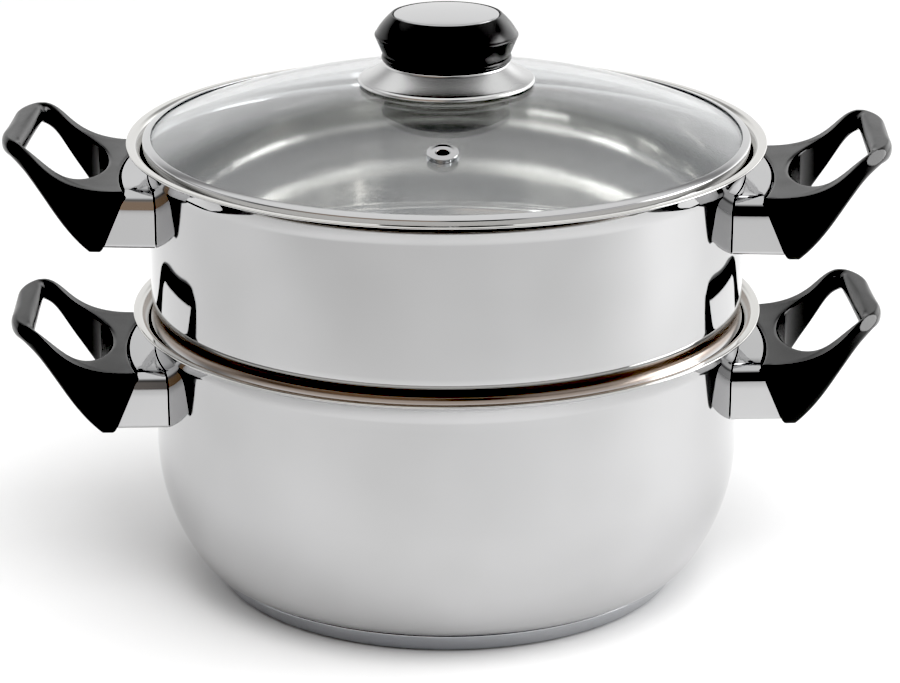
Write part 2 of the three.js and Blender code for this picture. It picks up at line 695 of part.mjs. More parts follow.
function makeKnobDisc() {
  const crown = knobTop + KNOB_DISC_CROWN;
  const crownControls = [[KNOB_DISC_RADIUS, knobTop], [KNOB_DISC_RADIUS / 2, crown], [0, crown]];
  const disc = turned([
    [0, knobDiscSeat - KNOB_DISC_PIN_LENGTH],
    [KNOB_DISC_PIN_RADIUS, knobDiscSeat - KNOB_DISC_PIN_LENGTH],
    [KNOB_DISC_PIN_RADIUS, knobDiscSeat],
    [KNOB_DISC_RADIUS, knobDiscSeat],
    crownControls[0],
    ...bend(crownControls, 2),
  ], KNOB_SIDES);
  return toMesh('knob_disc', disc, STEEL);
}

function makeKnobFastening() {
  const bore = KNOB_SCREW_RADIUS + SEAT_GAP;
  const ring = (outer, bottom, top) => turnedRing(
    [[bore, bottom], [outer, bottom], [outer, top], [bore, top]], SMALL_SIDES,
  );
  const sealTop = domeHeight(SEAL_RADIUS, domeRadius - GLASS_THICKNESS) - SEAT_GAP;
  const sealBottom = sealTop - SEAL_THICKNESS;
  const washerTop = sealBottom - SEAT_GAP;
  const washerBottom = washerTop - WASHER_THICKNESS;
  const headTop = washerBottom - SEAT_GAP;
  const headBottom = headTop - KNOB_SCREW_HEAD_HEIGHT;
  const insertBottom = knobBottom + SEAT_GAP;
  const insertTop = knobBottom + KNOB_INSERT_LENGTH;
  const screw = turned([
    [0, headBottom],
    [KNOB_SCREW_FACE_RADIUS, headBottom],
    [KNOB_SCREW_HEAD_RADIUS, headTop],
    [KNOB_SCREW_RADIUS, headTop],
    [KNOB_SCREW_RADIUS, insertTop - SEAT_GAP],
    [0, insertTop - SEAT_GAP],
  ], SMALL_SIDES);
  return [
    toMesh('knob_seal', ring(SEAL_RADIUS, sealBottom, sealTop), SILICONE),
    toMesh('knob_washer', ring(WASHER_RADIUS, washerBottom, washerTop), STEEL),
    toMesh('knob_insert', ring(KNOB_INSERT_RADIUS, insertBottom, insertTop), BRASS),
    toMesh('knob_screw', screw, STEEL),
  ];
}

// The whole steamer pot, tier by tier
const steamerPot = new THREE.Group();

const potTier = new THREE.Group();
const potLevel = POT_RIM_HEIGHT - POT_HANDLE_DROP;
potTier.add(makePot(), ...makeBase(), makeHandles('pot', POT_WALL_RADIUS, potLevel, 0));

const steamerTier = new THREE.Group();
const steamerLevel = steamerRimHeight - STEAMER_HANDLE_DROP;
steamerTier.add(makeSteamer(), makeHandles('steamer', steamerWallRadius, steamerLevel, STEAMER_TURN));

const lidTier = new THREE.Group();
lidTier.add(makeGlass(), makeBand(), makeVent(), makeKnobBase(), makeKnob(), makeKnobDisc());
lidTier.add(...makeKnobFastening());

steamerPot.add(potTier, steamerTier, lidTier);

export default steamerPot;
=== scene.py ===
# %% [markdown]
# # A two-tier steamer pot in polished steel, black phenolic and glass
#
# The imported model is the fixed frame: it says where every piece is and how large.
# This lesson dresses that frame. Nearly every visible piece is a turned (lathed) sheet of
# steel, so most shapes are one profile carried round an axis, worked out as whole arrays.

# %% Load the frame
import math

import bmesh
import bpy
import numpy as np
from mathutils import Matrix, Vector
from mathutils.geometry import delaunay_2d_cdt


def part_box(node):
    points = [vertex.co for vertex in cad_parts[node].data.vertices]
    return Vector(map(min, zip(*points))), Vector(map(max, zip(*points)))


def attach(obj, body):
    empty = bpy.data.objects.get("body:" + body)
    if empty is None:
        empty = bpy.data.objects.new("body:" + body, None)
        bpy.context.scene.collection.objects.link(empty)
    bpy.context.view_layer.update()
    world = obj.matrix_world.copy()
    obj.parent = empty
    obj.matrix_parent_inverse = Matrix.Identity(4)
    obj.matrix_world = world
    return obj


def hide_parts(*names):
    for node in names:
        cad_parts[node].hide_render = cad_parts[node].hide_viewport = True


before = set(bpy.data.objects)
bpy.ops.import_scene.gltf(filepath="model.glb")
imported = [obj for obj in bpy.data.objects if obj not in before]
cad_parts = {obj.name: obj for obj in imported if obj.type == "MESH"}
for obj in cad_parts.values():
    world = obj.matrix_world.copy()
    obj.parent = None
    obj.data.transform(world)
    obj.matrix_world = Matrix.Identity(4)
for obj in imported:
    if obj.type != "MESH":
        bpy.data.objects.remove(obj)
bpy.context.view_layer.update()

MM = 0.001


def node_box(node):
    """Lowest and highest corner of a node of the frame, in millimetres."""
    low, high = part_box(node)
    return np.array(low) / MM, np.array(high) / MM


# %% [markdown]
# ## The camera
#
# The photograph was taken from a little more than a metre away with a long lens, looking
# down at nineteen degrees. A long lens keeps the two rims nearly parallel ellipses. The
# camera stands on a sphere round a point on the pot's axis, so two angles place it.

# %% Camera
IMAGE_WIDTH = 900
FOCAL_PIXELS = 3200
SENSOR_MM = 36
CAMERA_DISTANCE = 1.230
CAMERA_PITCH = math.radians(19.0)
CAMERA_TURN = math.radians(-2.3)
CAMERA_AIM_HEIGHT = 0.0898
CAMERA_AIM_RIGHT = 0.0013


def make_camera():
    """Camera on a sphere round its aim: turn is measured from -Y, pitch up from the floor."""
    right = Vector((math.cos(CAMERA_TURN), math.sin(CAMERA_TURN), 0))
    aim = Vector((0, 0, CAMERA_AIM_HEIGHT)) + right * CAMERA_AIM_RIGHT
    level = math.cos(CAMERA_PITCH)
    turn = (math.sin(CAMERA_TURN), -math.cos(CAMERA_TURN))
    away = Vector((turn[0] * level, turn[1] * level, math.sin(CAMERA_PITCH)))
    data = bpy.data.cameras.new("camera")
    data.sensor_width = SENSOR_MM
    data.lens = FOCAL_PIXELS * SENSOR_MM / IMAGE_WIDTH
    camera = bpy.data.objects.new("camera", data)
    camera.location = aim + away * CAMERA_DISTANCE
    camera.rotation_euler = (-away).to_track_quat("-Z", "Y").to_euler()
    bpy.context.scene.collection.objects.link(camera)
    bpy.context.scene.camera = camera
    return camera


camera = make_camera()
print("lens", camera.data.lens, "mm at", [round(v, 3) for v in camera.location])

# %% [markdown]
# ## Small tools for surfaces
#
# A grid of points becomes a mesh of quads by index arithmetic alone. A grid can close on
# itself along its rows, along its columns, or both, as a ring does. Profiles are lists of
# (radius, height) points, joined from straight runs, arcs and curves.

# %% Grid to mesh
MERGE_DISTANCE = 1e-7
SHARP_EDGE = math.radians(38)


def grid_quads(rows, columns, close_rows, close_columns):
    """Quads of a point grid: each point, the next in its row, and the same two in the next row."""
    row = np.arange(rows if close_rows else rows - 1)
    column = np.arange(columns if close_columns else columns - 1)
    row, column = np.meshgrid(row, column, indexing="ij")
    next_row = (row + 1) % rows
    next_column = (column + 1) % columns
    corners = (
        row * columns + column,
        row * columns + next_column,
        next_row * columns + next_column,
        next_row * columns + column,
    )
    return np.stack(corners, axis=-1).reshape(-1, 4)


def new_piece(name, points_mm, faces, marks=None):
    """A mesh object at the origin from points in millimetres; marks are point values for its finish."""
    mesh = bpy.data.meshes.new(name)
    mesh.from_pydata((np.asarray(points_mm) * MM).tolist(), [], [list(face) for face in faces])
    for mark, values in (marks or {}).items():
        mesh.attributes.new(mark, "FLOAT", "POINT").data.foreach_set("value", values)
    tidy = bmesh.new()
    tidy.from_mesh(mesh)
    bmesh.ops.remove_doubles(tidy, verts=tidy.verts, dist=MERGE_DISTANCE)
    if tidy.calc_volume(signed=True) < 0:
        bmesh.ops.reverse_faces(tidy, faces=tidy.faces)
    tidy.to_mesh(mesh)
    tidy.free()
    mesh.polygons.foreach_set("use_smooth", np.ones(len(mesh.polygons), dtype=bool))
    mesh.set_sharp_from_angle(angle=SHARP_EDGE)
    piece = bpy.data.objects.new(name, mesh)
    bpy.context.scene.collection.objects.link(piece)
    return piece


def dress(piece, material, body, slot, *nodes):
    """Finish of a piece, the body it moves with, its slot (not used), and the nodes that it stands for."""
    piece.data.materials.append(material)
    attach(piece, body)
    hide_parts(*nodes)
    print(piece.name, len(piece.data.polygons), "faces on", body)
    return piece


def coat(node, material):
    """Finish of a node of the frame that stays as it is."""
    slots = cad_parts[node].data.materials
    slots.clear()
    slots.append(material)


# %% Profiles
def curve(controls, steps):
    """Bezier curve of any degree by its Bernstein sum: each control times its share at t."""
    controls = np.asarray(controls, float)
    degree = len(controls) - 1
    t = np.linspace(0, 1, steps + 1)[:, None]
    shares = [math.comb(degree, k) * t**k * (1 - t) ** (degree - k) for k in range(degree + 1)]
    return sum(share * control for share, control in zip(shares, controls))


def arc(middle, radii, start_degrees, end_degrees, steps):
    """Arc of an ellipse: middle plus the two radii times cosine and sine of the angle."""
    angle = np.radians(np.linspace(start_degrees, end_degrees, steps + 1))
    radii = np.broadcast_to(radii, 2)
    return np.stack([middle[0] + radii[0] * np.cos(angle), middle[1] + radii[1] * np.sin(angle)], axis=1)


def straight(start, end, steps):
    """Straight run cut into equal steps."""
    return np.linspace(start, end, steps + 1)


def joined(*runs):
    """Runs of a profile end to end, without the points that repeat."""
    points = np.concatenate([np.atleast_2d(run) for run in runs])
    step = np.linalg.norm(np.diff(points, axis=0), axis=1)
    return points[np.concatenate([[True], step > 1e-6])]


def offset(path, distance):
    """Path moved to its left, each point along the mean of its two neighbours' normals."""
    along = np.diff(path, axis=0)
    along /= np.linalg.norm(along, axis=1)[:, None]
    arrive = np.vstack([along[:1], along])
    leave = np.vstack([along, along[-1:]])
    mean = arrive + leave
    mean /= np.linalg.norm(mean, axis=1)[:, None]
    mitre = distance / np.sum(mean * arrive, axis=1)[:, None]
    return path + np.stack([-mean[:, 1], mean[:, 0]], axis=1) * mitre


def sheet_profile(outside, thickness, edge_steps=6):
    """Closed profile of a sheet: its outside, a round edge, and its inside back again."""
    inside = offset(outside, thickness)
    middle = (outside[-1] + inside[-1]) / 2
    arm = outside[-1] - middle
    side = np.array([-arm[1], arm[0]])
    angle = np.linspace(0, math.pi, edge_steps + 1)[1:-1, None]
    edge = middle + arm * np.cos(angle) + side * np.sin(angle)
    return np.vstack([outside, edge, inside[::-1]])


def eased(corners, eases, steps=8):
    """Path through corners; each inner corner becomes a quadratic curve, begun its ease away."""
    corners = np.asarray(corners, float)
    runs = [corners[:1]]
    for before, corner, after, ease in zip(corners, corners[1:], corners[2:], eases):
        back = (before - corner) / np.linalg.norm(before - corner)
        ahead = (after - corner) / np.linalg.norm(after - corner)
        runs.append(curve([corner + back * ease, corner, corner + ahead * ease], steps))
    return joined(*runs, corners[-1:])


def lathe_points(profile, sides):
    """Profile of (radius, height) points carried round the Z axis at equal angles."""
    angle = np.linspace(0, 2 * math.pi, sides, endpoint=False)
    x = profile[:, :1] * np.cos(angle)
    y = profile[:, :1] * np.sin(angle)
    return np.stack([x, y, np.broadcast_to(profile[:, 1:], x.shape)], axis=-1)


def turned(name, profile, sides, closed=False, marks=None):
    """A turned piece: its lathe points as a grid that closes round the axis."""
    points = lathe_points(profile, sides).reshape(-1, 3)
    marks = {mark: np.repeat(values, sides) for mark, values in (marks or {}).items()}
    return new_piece(name, points, grid_quads(len(profile), sides, closed, True), marks)


# %% [markdown]
# ## Finishes
#
# Each material starts from what the real one is. Colours are sRGB hex values and one
# function turns them to linear light. One more function adds a node, sets it and links it,
# and five short ones use it for the steps that come again and again: noise, ramp, blend,
# product and mark. So each material reads as a list of the layers that the real surface has.

# %% Node helpers
def hex_linear(code):
    """sRGB hex to linear RGBA: the two-part sRGB curve on each channel."""
    srgb = np.array([int(code[k : k + 2], 16) for k in (1, 3, 5)]) / 255
    linear = np.where(srgb <= 0.04045, srgb / 12.92, ((srgb + 0.055) / 1.055) ** 2.4)
    return (*linear.tolist(), 1.0)


def add(tree, kind, settings=None, inputs=None):
    """A node with its settings; an input is a value, or the socket that it is linked from."""
    node = tree.nodes.new(kind)
    for key, value in (settings or {}).items():
        setattr(node, key, value)
    for key, value in (inputs or {}).items():
        if isinstance(value, bpy.types.NodeSocket):
            tree.links.new(value, node.inputs[key])
        else:
            node.inputs[key].default_value = value
    return node


def noise(tree, place, size_mm, detail):
    """Noise in object space whose patches are about the given size."""
    return add(tree, "ShaderNodeTexNoise", {}, {
        "Vector": place.outputs["Object"], "Scale": 1 / (size_mm * MM), "Detail": detail,
    }).outputs["Fac"]


def ramp(tree, value, span, ends, soft=False):
    """A value carried from its span to the two ends, straight or with a soft start and finish."""
    return add(tree, "ShaderNodeMapRange", {"interpolation_type": "SMOOTHSTEP" if soft else "LINEAR"}, {
        "Value": value, "From Min": span[0], "From Max": span[1], "To Min": ends[0], "To Max": ends[1],
    }).outputs["Result"]


def blend(tree, share, first, second):
    """First colour mixed with the second by a share."""
    return add(tree, "ShaderNodeMix", {"data_type": "RGBA"}, {
        "Factor": share, "A": first, "B": second,
    }).outputs["Result"]


def product(tree, first, second, more=0.0):
    """First value times the second, plus one more."""
    return add(tree, "ShaderNodeMath", {"operation": "MULTIPLY_ADD"}, {
        0: first, 1: second, 2: more,
    }).outputs["Value"]


def point_mark(tree, name):
    """A point value that the mesh carries, none where it carries no such mark."""
    return add(tree, "ShaderNodeAttribute", {"attribute_name": name}).outputs["Fac"]


def new_material(name):
    """An empty node material, its tree and its output node."""
    material = bpy.data.materials.new(name)
    material.use_nodes = True
    tree = material.node_tree
    tree.nodes.clear()
    return material, tree, tree.nodes.new("ShaderNodeOutputMaterial")


# %% [markdown]
# ### Polished stainless steel
#
# Stainless 18/10 sheet is pressed, then buffed with felt wheels until it is nearly a mirror.
# Buffing goes round the pot, so what is left of the grit lies in fine rings. A few of them
# wander, and the mirror has a slight haze. Object coordinates squeezed along Z make rings:
# noise that is fine in height and very long around. The outside of the neck and the vent's
# bore get a painted shade: a darker brown colour, a little rougher, that stands in for the
# shade there. A painted dark line of shade runs in the crease above the base. Marks on the mesh say where.

# %% Polished steel
STEEL_COLOUR = "#B0B0B0"
STEEL_HAZED = "#C5C5C6"
INSIDE_COLOUR = "#DAD9D6"
# Painted shade: the darker brown colour given to the steamer's neck and the vent's bore.
PAINTED_SHADE_COLOUR = "#9F958E"
# Painted shade: the dark line in the crease above the base.
CREASE_SHADE_COLOUR = "#2B2A2A"
INSIDE_ROUGHNESS = 0.02
PAINTED_SHADE_ROUGHNESS = 0.2
RING_SPACING_MM = 1.4
HAZE_SIZE_MM = 65
NOISE_SPAN = (0.3, 0.7)


def steel_material(name, colour, roughness_ends, ring_depth_mm):
    """Mirror steel: rings of buffing, a slow haze, an inside colour, and painted shade where the mesh has
    marks.
    """
    material, tree, output = new_material(name)
    place = add(tree, "ShaderNodeTexCoord")
    haze_scale, ring_scale = 1 / (HAZE_SIZE_MM * MM), 1 / (RING_SPACING_MM * MM)
    squeeze = add(tree, "ShaderNodeMapping", {}, {
        "Vector": place.outputs["Object"], "Scale": (haze_scale, haze_scale, ring_scale),
    })
    rings = add(tree, "ShaderNodeTexNoise", {}, {
        "Vector": squeeze.outputs["Vector"], "Scale": 1.0, "Detail": 3.0,
    })
    bump = add(tree, "ShaderNodeBump", {}, {
        "Height": rings.outputs["Fac"], "Strength": 1.0, "Distance": ring_depth_mm * MM,
    })
    haze = noise(tree, place, HAZE_SIZE_MM, 2.0)
    inside, painted_shade, crease_shade = (point_mark(tree, kind) for kind in ("inside", "painted_shade", "crease_shade"))
    roughness = ramp(tree, haze, NOISE_SPAN, roughness_ends)
    roughness = product(tree, inside, INSIDE_ROUGHNESS, roughness)
    roughness = product(tree, painted_shade, PAINTED_SHADE_ROUGHNESS, roughness)
    tint = blend(tree, haze, hex_linear(colour), hex_linear(STEEL_HAZED))
    tint = blend(tree, inside, tint, hex_linear(INSIDE_COLOUR))
    # Painted shade: the neck and the vent's bore are coloured darker brown.
    tint = blend(tree, painted_shade, tint, hex_linear(PAINTED_SHADE_COLOUR))
    # Painted shade: a dark line in the crease above the base.
    tint = blend(tree, crease_shade, tint, hex_linear(CREASE_SHADE_COLOUR))
    shader = add(tree, "ShaderNodeBsdfPrincipled", {}, {
        "Base Color": tint, "Metallic": 1.0, "Roughness": roughness, "Normal": bump.outputs["Normal"],
    })
    tree.links.new(shader.outputs["BSDF"], output.inputs["Surface"])
    return material


polished_steel = steel_material("polished_stainless", STEEL_COLOUR, (0.03, 0.07), 0.002)
satin_steel = steel_material("satin_stainless", "#B4B7BC", (0.18, 0.26), 0.004)
bright_steel = steel_material("mirror_polished_stainless", "#C8C8C8", (0.03, 0.06), 0.0005)
spun_steel = steel_material("spun_stainless", "#E2E2E1", (0.22, 0.3), 0.0005)
plain_steel = steel_material("bright_zinc_steel", "#B9BABB", (0.22, 0.32), 0.004)

# %% [markdown]
# ### Moulded phenolic
#
# The loops and the knob are black phenolic resin, moulded hot under pressure. The mould is
# polished, so the skin is a soft gloss with a very fine orange peel, and handling rubs it a
# little brighter in places. It is a dielectric with an IOR of about 1.6.

# %% Black phenolic
PEEL_SIZE_MM = 0.9
PEEL_DEPTH_MM = 0.02
RUB_SIZE_MM = 14
PHENOLIC_ROUGHNESS = (0.18, 0.26)
PHENOLIC_IOR = 1.6


def phenolic_material():
    """Black resin: fine orange peel in the bump, slow patches of rubbing in the roughness."""
    material, tree, output = new_material("black_phenolic")
    place = add(tree, "ShaderNodeTexCoord")
    peel = noise(tree, place, PEEL_SIZE_MM, 2.0)
    rub = noise(tree, place, RUB_SIZE_MM, 3.0)
    bump = add(tree, "ShaderNodeBump", {}, {
        "Height": peel, "Strength": 0.25, "Distance": PEEL_DEPTH_MM * MM,
    })
    shader = add(tree, "ShaderNodeBsdfPrincipled", {}, {
        "Base Color": blend(tree, rub, hex_linear("#0A0A0A"), hex_linear("#121111")),
        "Roughness": ramp(tree, rub, NOISE_SPAN, PHENOLIC_ROUGHNESS),
        "IOR": PHENOLIC_IOR, "Normal": bump.outputs["Normal"],
    })
    tree.links.new(shader.outputs["BSDF"], output.inputs["Surface"])
    return material


phenolic = phenolic_material()

# %% [markdown]
# ### Tempered glass
#
# The dome is soda-lime float glass, bent and tempered, four millimetres thick. Its own
# thickness is modelled, so the shader only needs the IOR of 1.52 and a colour that is almost
# white. Tempering leaves a very slight roll in the surface. Towards the rim a little less light
# passes and a little more is scattered white: a painted sheen that makes the glass paler there.

# %% Glass, silicone, brass and aluminium
GLASS_IOR = 1.52
ROLL_SIZE_MM = 30
ROLL_DEPTH_MM = 0.05
# Painted sheen: across this span the glass turns paler and less clear towards the rim.
SHEEN_SPAN_MM = (35, 112)
CLEAR_ENDS = (0.99, 0.9)


def glass_material():
    """Clear glass with the long roll of tempering, and a painted sheen that grows with distance from the
    axis.
    """
    material, tree, output = new_material("tempered_glass")
    place = add(tree, "ShaderNodeTexCoord")
    bump = add(tree, "ShaderNodeBump", {}, {
        "Height": noise(tree, place, ROLL_SIZE_MM, 1.0), "Strength": 0.3, "Distance": ROLL_DEPTH_MM * MM,
    })
    level = add(tree, "ShaderNodeVectorMath", {"operation": "MULTIPLY"}, {
        0: place.outputs["Object"], 1: (1, 1, 0),
    })
    reach = add(tree, "ShaderNodeVectorMath", {"operation": "LENGTH"}, {0: level.outputs["Vector"]})
    sheen_span = [distance * MM for distance in SHEEN_SPAN_MM]
    shader = add(tree, "ShaderNodeBsdfPrincipled", {}, {
        "Base Color": hex_linear("#F3F5F6"), "IOR": GLASS_IOR, "Roughness": 0.0,
        "Transmission Weight": ramp(tree, reach.outputs["Value"], sheen_span, CLEAR_ENDS),
        "Normal": bump.outputs["Normal"],
    })
    tree.links.new(shader.outputs["BSDF"], output.inputs["Surface"])
    return material


def grained_material(name, dark, light, grain_mm, roughness, metallic):
    """A plain stock finish: two close shades mixed by a noise of the stock's own grain."""
    material, tree, output = new_material(name)
    grain = noise(tree, add(tree, "ShaderNodeTexCoord"), grain_mm, 3.0)
    shader = add(tree, "ShaderNodeBsdfPrincipled", {}, {
        "Base Color": blend(tree, grain, hex_linear(dark), hex_linear(light)),
        "Metallic": metallic, "Roughness": roughness,
    })
    tree.links.new(shader.outputs["BSDF"], output.inputs["Surface"])
    return material


glass = glass_material()
silicone = grained_material("milky_silicone", "#CFCDC8", "#DEDCD8", 3, 0.55, 0.0)
brass = grained_material("turned_brass", "#B08F45", "#C7A75E", 2, 0.35, 1.0)
aluminium = grained_material("rolled_aluminium", "#B2B5B9", "#C6C8CB", 4, 0.4, 1.0)

# %% [markdown]
# ## The pot
#
# The pot is one pressed sheet: a flat bottom, a belly that swells to the wall, a straight
# wall, and a brim that flares out to a flat lip. A lathe profile gives all of it. The outside
# is drawn once and the inside is the same path offset by the sheet, so the wall is even.

# %% Pot body
SIDES = 256
SHEET = 0.8
BRIM_REACH = 7.8
BRIM_HEIGHT = 8.5
BRIM_SWEEP = 3
BRIM_LIP = 3
BRIM_ROUND = 0.7
FOOT_RADIUS = 95.5
BELLY_HEIGHT = 47
BELLY_FULLNESS = 20.6
FOOT_ROUND = 2.6
FOOT_ROUND_STEPS = 4
# Height of the painted shade line above the base.
CREASE_SHADE_HEIGHT = 0.8

pot_low, pot_high = node_box("pot_body")
pot_bottom, pot_rim = pot_low[2], pot_high[2]
pot_wall = pot_high[0] - BRIM_REACH


def brim(wall_radius, rim_height):
    """Outside of a brim: a quadratic flare that leaves the wall upright, a small round, a flat lip."""
    lip = rim_height - SHEET
    start = lip - BRIM_HEIGHT
    corner = (wall_radius + BRIM_REACH - BRIM_LIP, lip)
    flare = curve([(wall_radius, start), (wall_radius, start + BRIM_SWEEP), corner], 24)[:-2]
    turn = curve([flare[-1], corner, (corner[0] + BRIM_ROUND, lip)], 5)
    return joined(flare, turn, straight(turn[-1], (wall_radius + BRIM_REACH - SHEET / 2, lip), 4))


def inner_side(profile):
    """One for the points of a sheet's profile from its lip inward, none for its outside."""
    return np.where(np.arange(len(profile)) > np.argmax(profile[:, 0]), 1.0, 0.0)


def crease_shade_mark(profile):
    """One for the outside of the foot just above the base, where a dark line of shade is painted."""
    near = (profile[:, 1] < pot_bottom + CREASE_SHADE_HEIGHT) & (profile[:, 0] > FOOT_RADIUS - FOOT_ROUND)
    return np.where(near & (inner_side(profile) == 0), 1.0, 0.0)


def make_pot():
    """Bottom, small foot round, belly as a quadratic curve that ends upright, wall and brim."""
    foot = (FOOT_RADIUS, pot_bottom)
    hip = (pot_wall, pot_bottom + BELLY_FULLNESS)
    belly_top = (pot_wall, pot_bottom + BELLY_HEIGHT)
    belly = curve([foot, hip, belly_top], 40)[FOOT_ROUND_STEPS:]
    flat_end = (FOOT_RADIUS - FOOT_ROUND, pot_bottom)
    outside = joined(
        straight((0, pot_bottom), flat_end, 12),
        curve([flat_end, foot, belly[0]], 8),
        belly,
        straight(belly_top, (pot_wall, pot_rim - SHEET - BRIM_HEIGHT), 12),
        brim(pot_wall, pot_rim),
    )
    profile = sheet_profile(outside, SHEET)
    marks = {"inside": inner_side(profile), "crease_shade": crease_shade_mark(profile)}
    piece = turned("pot_shell", profile, SIDES, marks=marks)
    return dress(piece, polished_steel, "pot", "polished_steel", "pot_body")


make_pot()

# %% [markdown]
# ## The encapsulated base
#
# Under the pot an aluminium disc spreads the heat, and a steel cap is pressed round it. Both
# are brazed on. A dark line of shade is painted in the crease above the cap. The cap tapers in
# towards the hob, has rolled edges, and is left satin because it is scrubbed.

# %% Base cap
BASE_TAPER = 5
BASE_EDGE = 1.8

base_high = node_box("base_cap")[1]


def make_base():
    """Flat underside, rolled lower edge, tapering side; the sheet's edge is round at the top."""
    top_radius, height = base_high[0], base_high[2]
    foot_radius = top_radius - BASE_TAPER
    lean = np.array([BASE_TAPER, height]) / np.hypot(BASE_TAPER, height)
    corner = np.array([foot_radius, 0.0])
    roll = curve([corner - (BASE_EDGE, 0), corner, corner + lean * BASE_EDGE], 6)
    top = np.array([top_radius, height - SHEET / 2])
    outside = joined(straight((0, 0), roll[0], 10), roll, straight(roll[-1], top, 6))
    piece = turned("base_cap_shell", sheet_profile(outside, SHEET), SIDES)
    return dress(piece, satin_steel, "pot", "polished_steel", "base_cap")


make_base()
coat("base_core", aluminium)

# %% [markdown]
# ## The steamer and its perforated floor
#
# The steamer's wall is drawn in to a neck, and below it a bead is pressed out, which rests in
# the flare of the pot's brim. Under the bead a spigot drops into the pot. The neck mirrors the
# dark gap at the brim, and its colour is a painted shade of dark brown, so together they draw
# the black and brown band between the tiers. The floor is pierced in rings. A lathe can't make
# holes, so the floor is a flat triangulation between its outer circle and the circles of the holes, used
# twice: once for each face.

# %% Steamer body
BEAD_OVERHANG = 1.6
BEAD_SLOPE = 3.2
NECK_DEPTH = 1.9
NECK_HEIGHT = 3.2
NECK_TOP = 8
SPIGOT_CLEARANCE = 0.8
SPIGOT_DEPTH = 27.8
FLOOR_CORNER = 6
STEP_EASES = (1.0, 0.9, 1.8, 2.8)
HOLE_RADIUS = 3.5
HOLE_PITCH = 28
HOLE_RINGS = 3
HOLE_POINTS = 32
TRIANGLE_TOLERANCE = 1e-9
HOLE_SHRINK = 0.995

steamer_low, steamer_high = node_box("steamer_body")
steamer_floor, steamer_rim = steamer_low[2], steamer_high[2]
steamer_wall = steamer_high[0] - BRIM_REACH
spigot = pot_wall - SHEET - SPIGOT_CLEARANCE
bead_height = steamer_floor + SPIGOT_DEPTH


def circle(radius, count, middle=(0, 0)):
    """Points of a circle at equal angles."""
    angle = np.linspace(0, 2 * math.pi, count, endpoint=False)
    return np.stack([middle[0] + radius * np.cos(angle), middle[1] + radius * np.sin(angle)], axis=1)


def floor_holes():
    """Middle and radius of each hole: one in the middle, then rings of six, twelve and eighteen."""
    rings = [circle(ring * HOLE_PITCH, 6 * ring) for ring in range(1, HOLE_RINGS + 1)]
    middles = np.vstack([np.zeros((1, 2)), *rings])
    return np.column_stack([middles, np.full(len(middles), HOLE_RADIUS)])


def pierced(radius, holes, fill):
    """Flat triangulation from an outer circle to the circles of holes, through points that fill it."""
    rings = [circle(radius, SIDES)] + [circle(hole[2], HOLE_POINTS, hole[:2]) for hole in holes]
    step = np.arange(HOLE_POINTS)
    start = SIDES + np.arange(len(holes))[:, None] * HOLE_POINTS
    hole_edges = np.stack([start + step, start + (step + 1) % HOLE_POINTS], axis=-1).reshape(-1, 2)
    rim_edges = np.stack([np.arange(SIDES), (np.arange(SIDES) + 1) % SIDES], axis=1)
    edges = np.vstack([rim_edges, hole_edges]).tolist()
    # The triangulation keeps the input order of its points, as none of them coincide.
    flat = [Vector(point) for point in np.vstack([*rings, fill])]
    points, _, triangles, *_ = delaunay_2d_cdt(flat, edges, [], 0, TRIANGLE_TOLERANCE)
    points, triangles = np.array(points), np.array(triangles)
    middle = points[triangles].mean(axis=1)
    apart = np.linalg.norm(middle[:, None, :] - holes[None, :, :2], axis=2)
    # A triangle between the points of one hole's circle has its middle inside that circle.
    clear = (apart > holes[:, 2] * HOLE_SHRINK).all(axis=1)
    clear &= np.linalg.norm(middle, axis=1) < radius
    return points, triangles[clear], hole_edges


def pierced_faces(triangles, hole_edges, count):
    """Faces of a pierced sheet: its lower side, its upper side, and a wall round every hole."""
    walls = np.column_stack([hole_edges[:, ::-1], hole_edges + count])
    return [*triangles[:, ::-1].tolist(), *(triangles + count).tolist(), *walls.tolist()]


def neck_shade_mark(profile):
    """One for the outside of the neck between bead and wall, where shade is painted; none elsewhere."""
    outside = np.arange(len(profile)) < np.argmax(profile[:, 0])
    low, high = bead_height + NECK_HEIGHT / 3, bead_height + NECK_TOP - STEP_EASES[-1] / 2
    return np.where(outside & (profile[:, 1] > low) & (profile[:, 1] < high), 1.0, 0.0)


def make_steamer():
    """Lathe from the floor's edge outward and back to it, closed by the pierced floor."""
    floor_edge = spigot - FLOOR_CORNER
    corner = arc((floor_edge, steamer_floor + FLOOR_CORNER), FLOOR_CORNER, -90, 0, 10)
    step = eased([
        corner[-1],
        (spigot, bead_height - BEAD_SLOPE),
        (pot_wall + BEAD_OVERHANG, bead_height),
        (steamer_wall - NECK_DEPTH, bead_height + NECK_HEIGHT),
        (steamer_wall, bead_height + NECK_TOP),
        (steamer_wall, steamer_rim - SHEET - BRIM_HEIGHT),
    ], STEP_EASES)
    outside = joined(corner, step, brim(steamer_wall, steamer_rim))
    profile = sheet_profile(outside, SHEET)
    wall = lathe_points(profile, SIDES).reshape(-1, 3)
    flat, triangles, hole_edges = pierced(floor_edge, floor_holes(), np.empty((0, 2)))
    levels = (steamer_floor, steamer_floor + SHEET)
    floor = np.vstack([np.column_stack([flat, np.full(len(flat), level)]) for level in levels])
    faces = grid_quads(len(profile), SIDES, False, True).tolist()
    floor_faces = pierced_faces(triangles, hole_edges, len(flat))
    faces += [[corner + len(wall) for corner in face] for face in floor_faces]
    inside = np.concatenate([np.repeat(inner_side(profile), SIDES), np.ones(len(floor))])
    # Painted shade on the outside of the neck.
    painted_shade = np.concatenate([np.repeat(neck_shade_mark(profile), SIDES), np.zeros(len(floor))])
    marks = {"inside": inside, "painted_shade": painted_shade}
    piece = new_piece("steamer_shell", np.vstack([wall, floor]), faces, marks)
    return dress(piece, polished_steel, "steamer", "polished_steel", "steamer_body")


make_steamer()

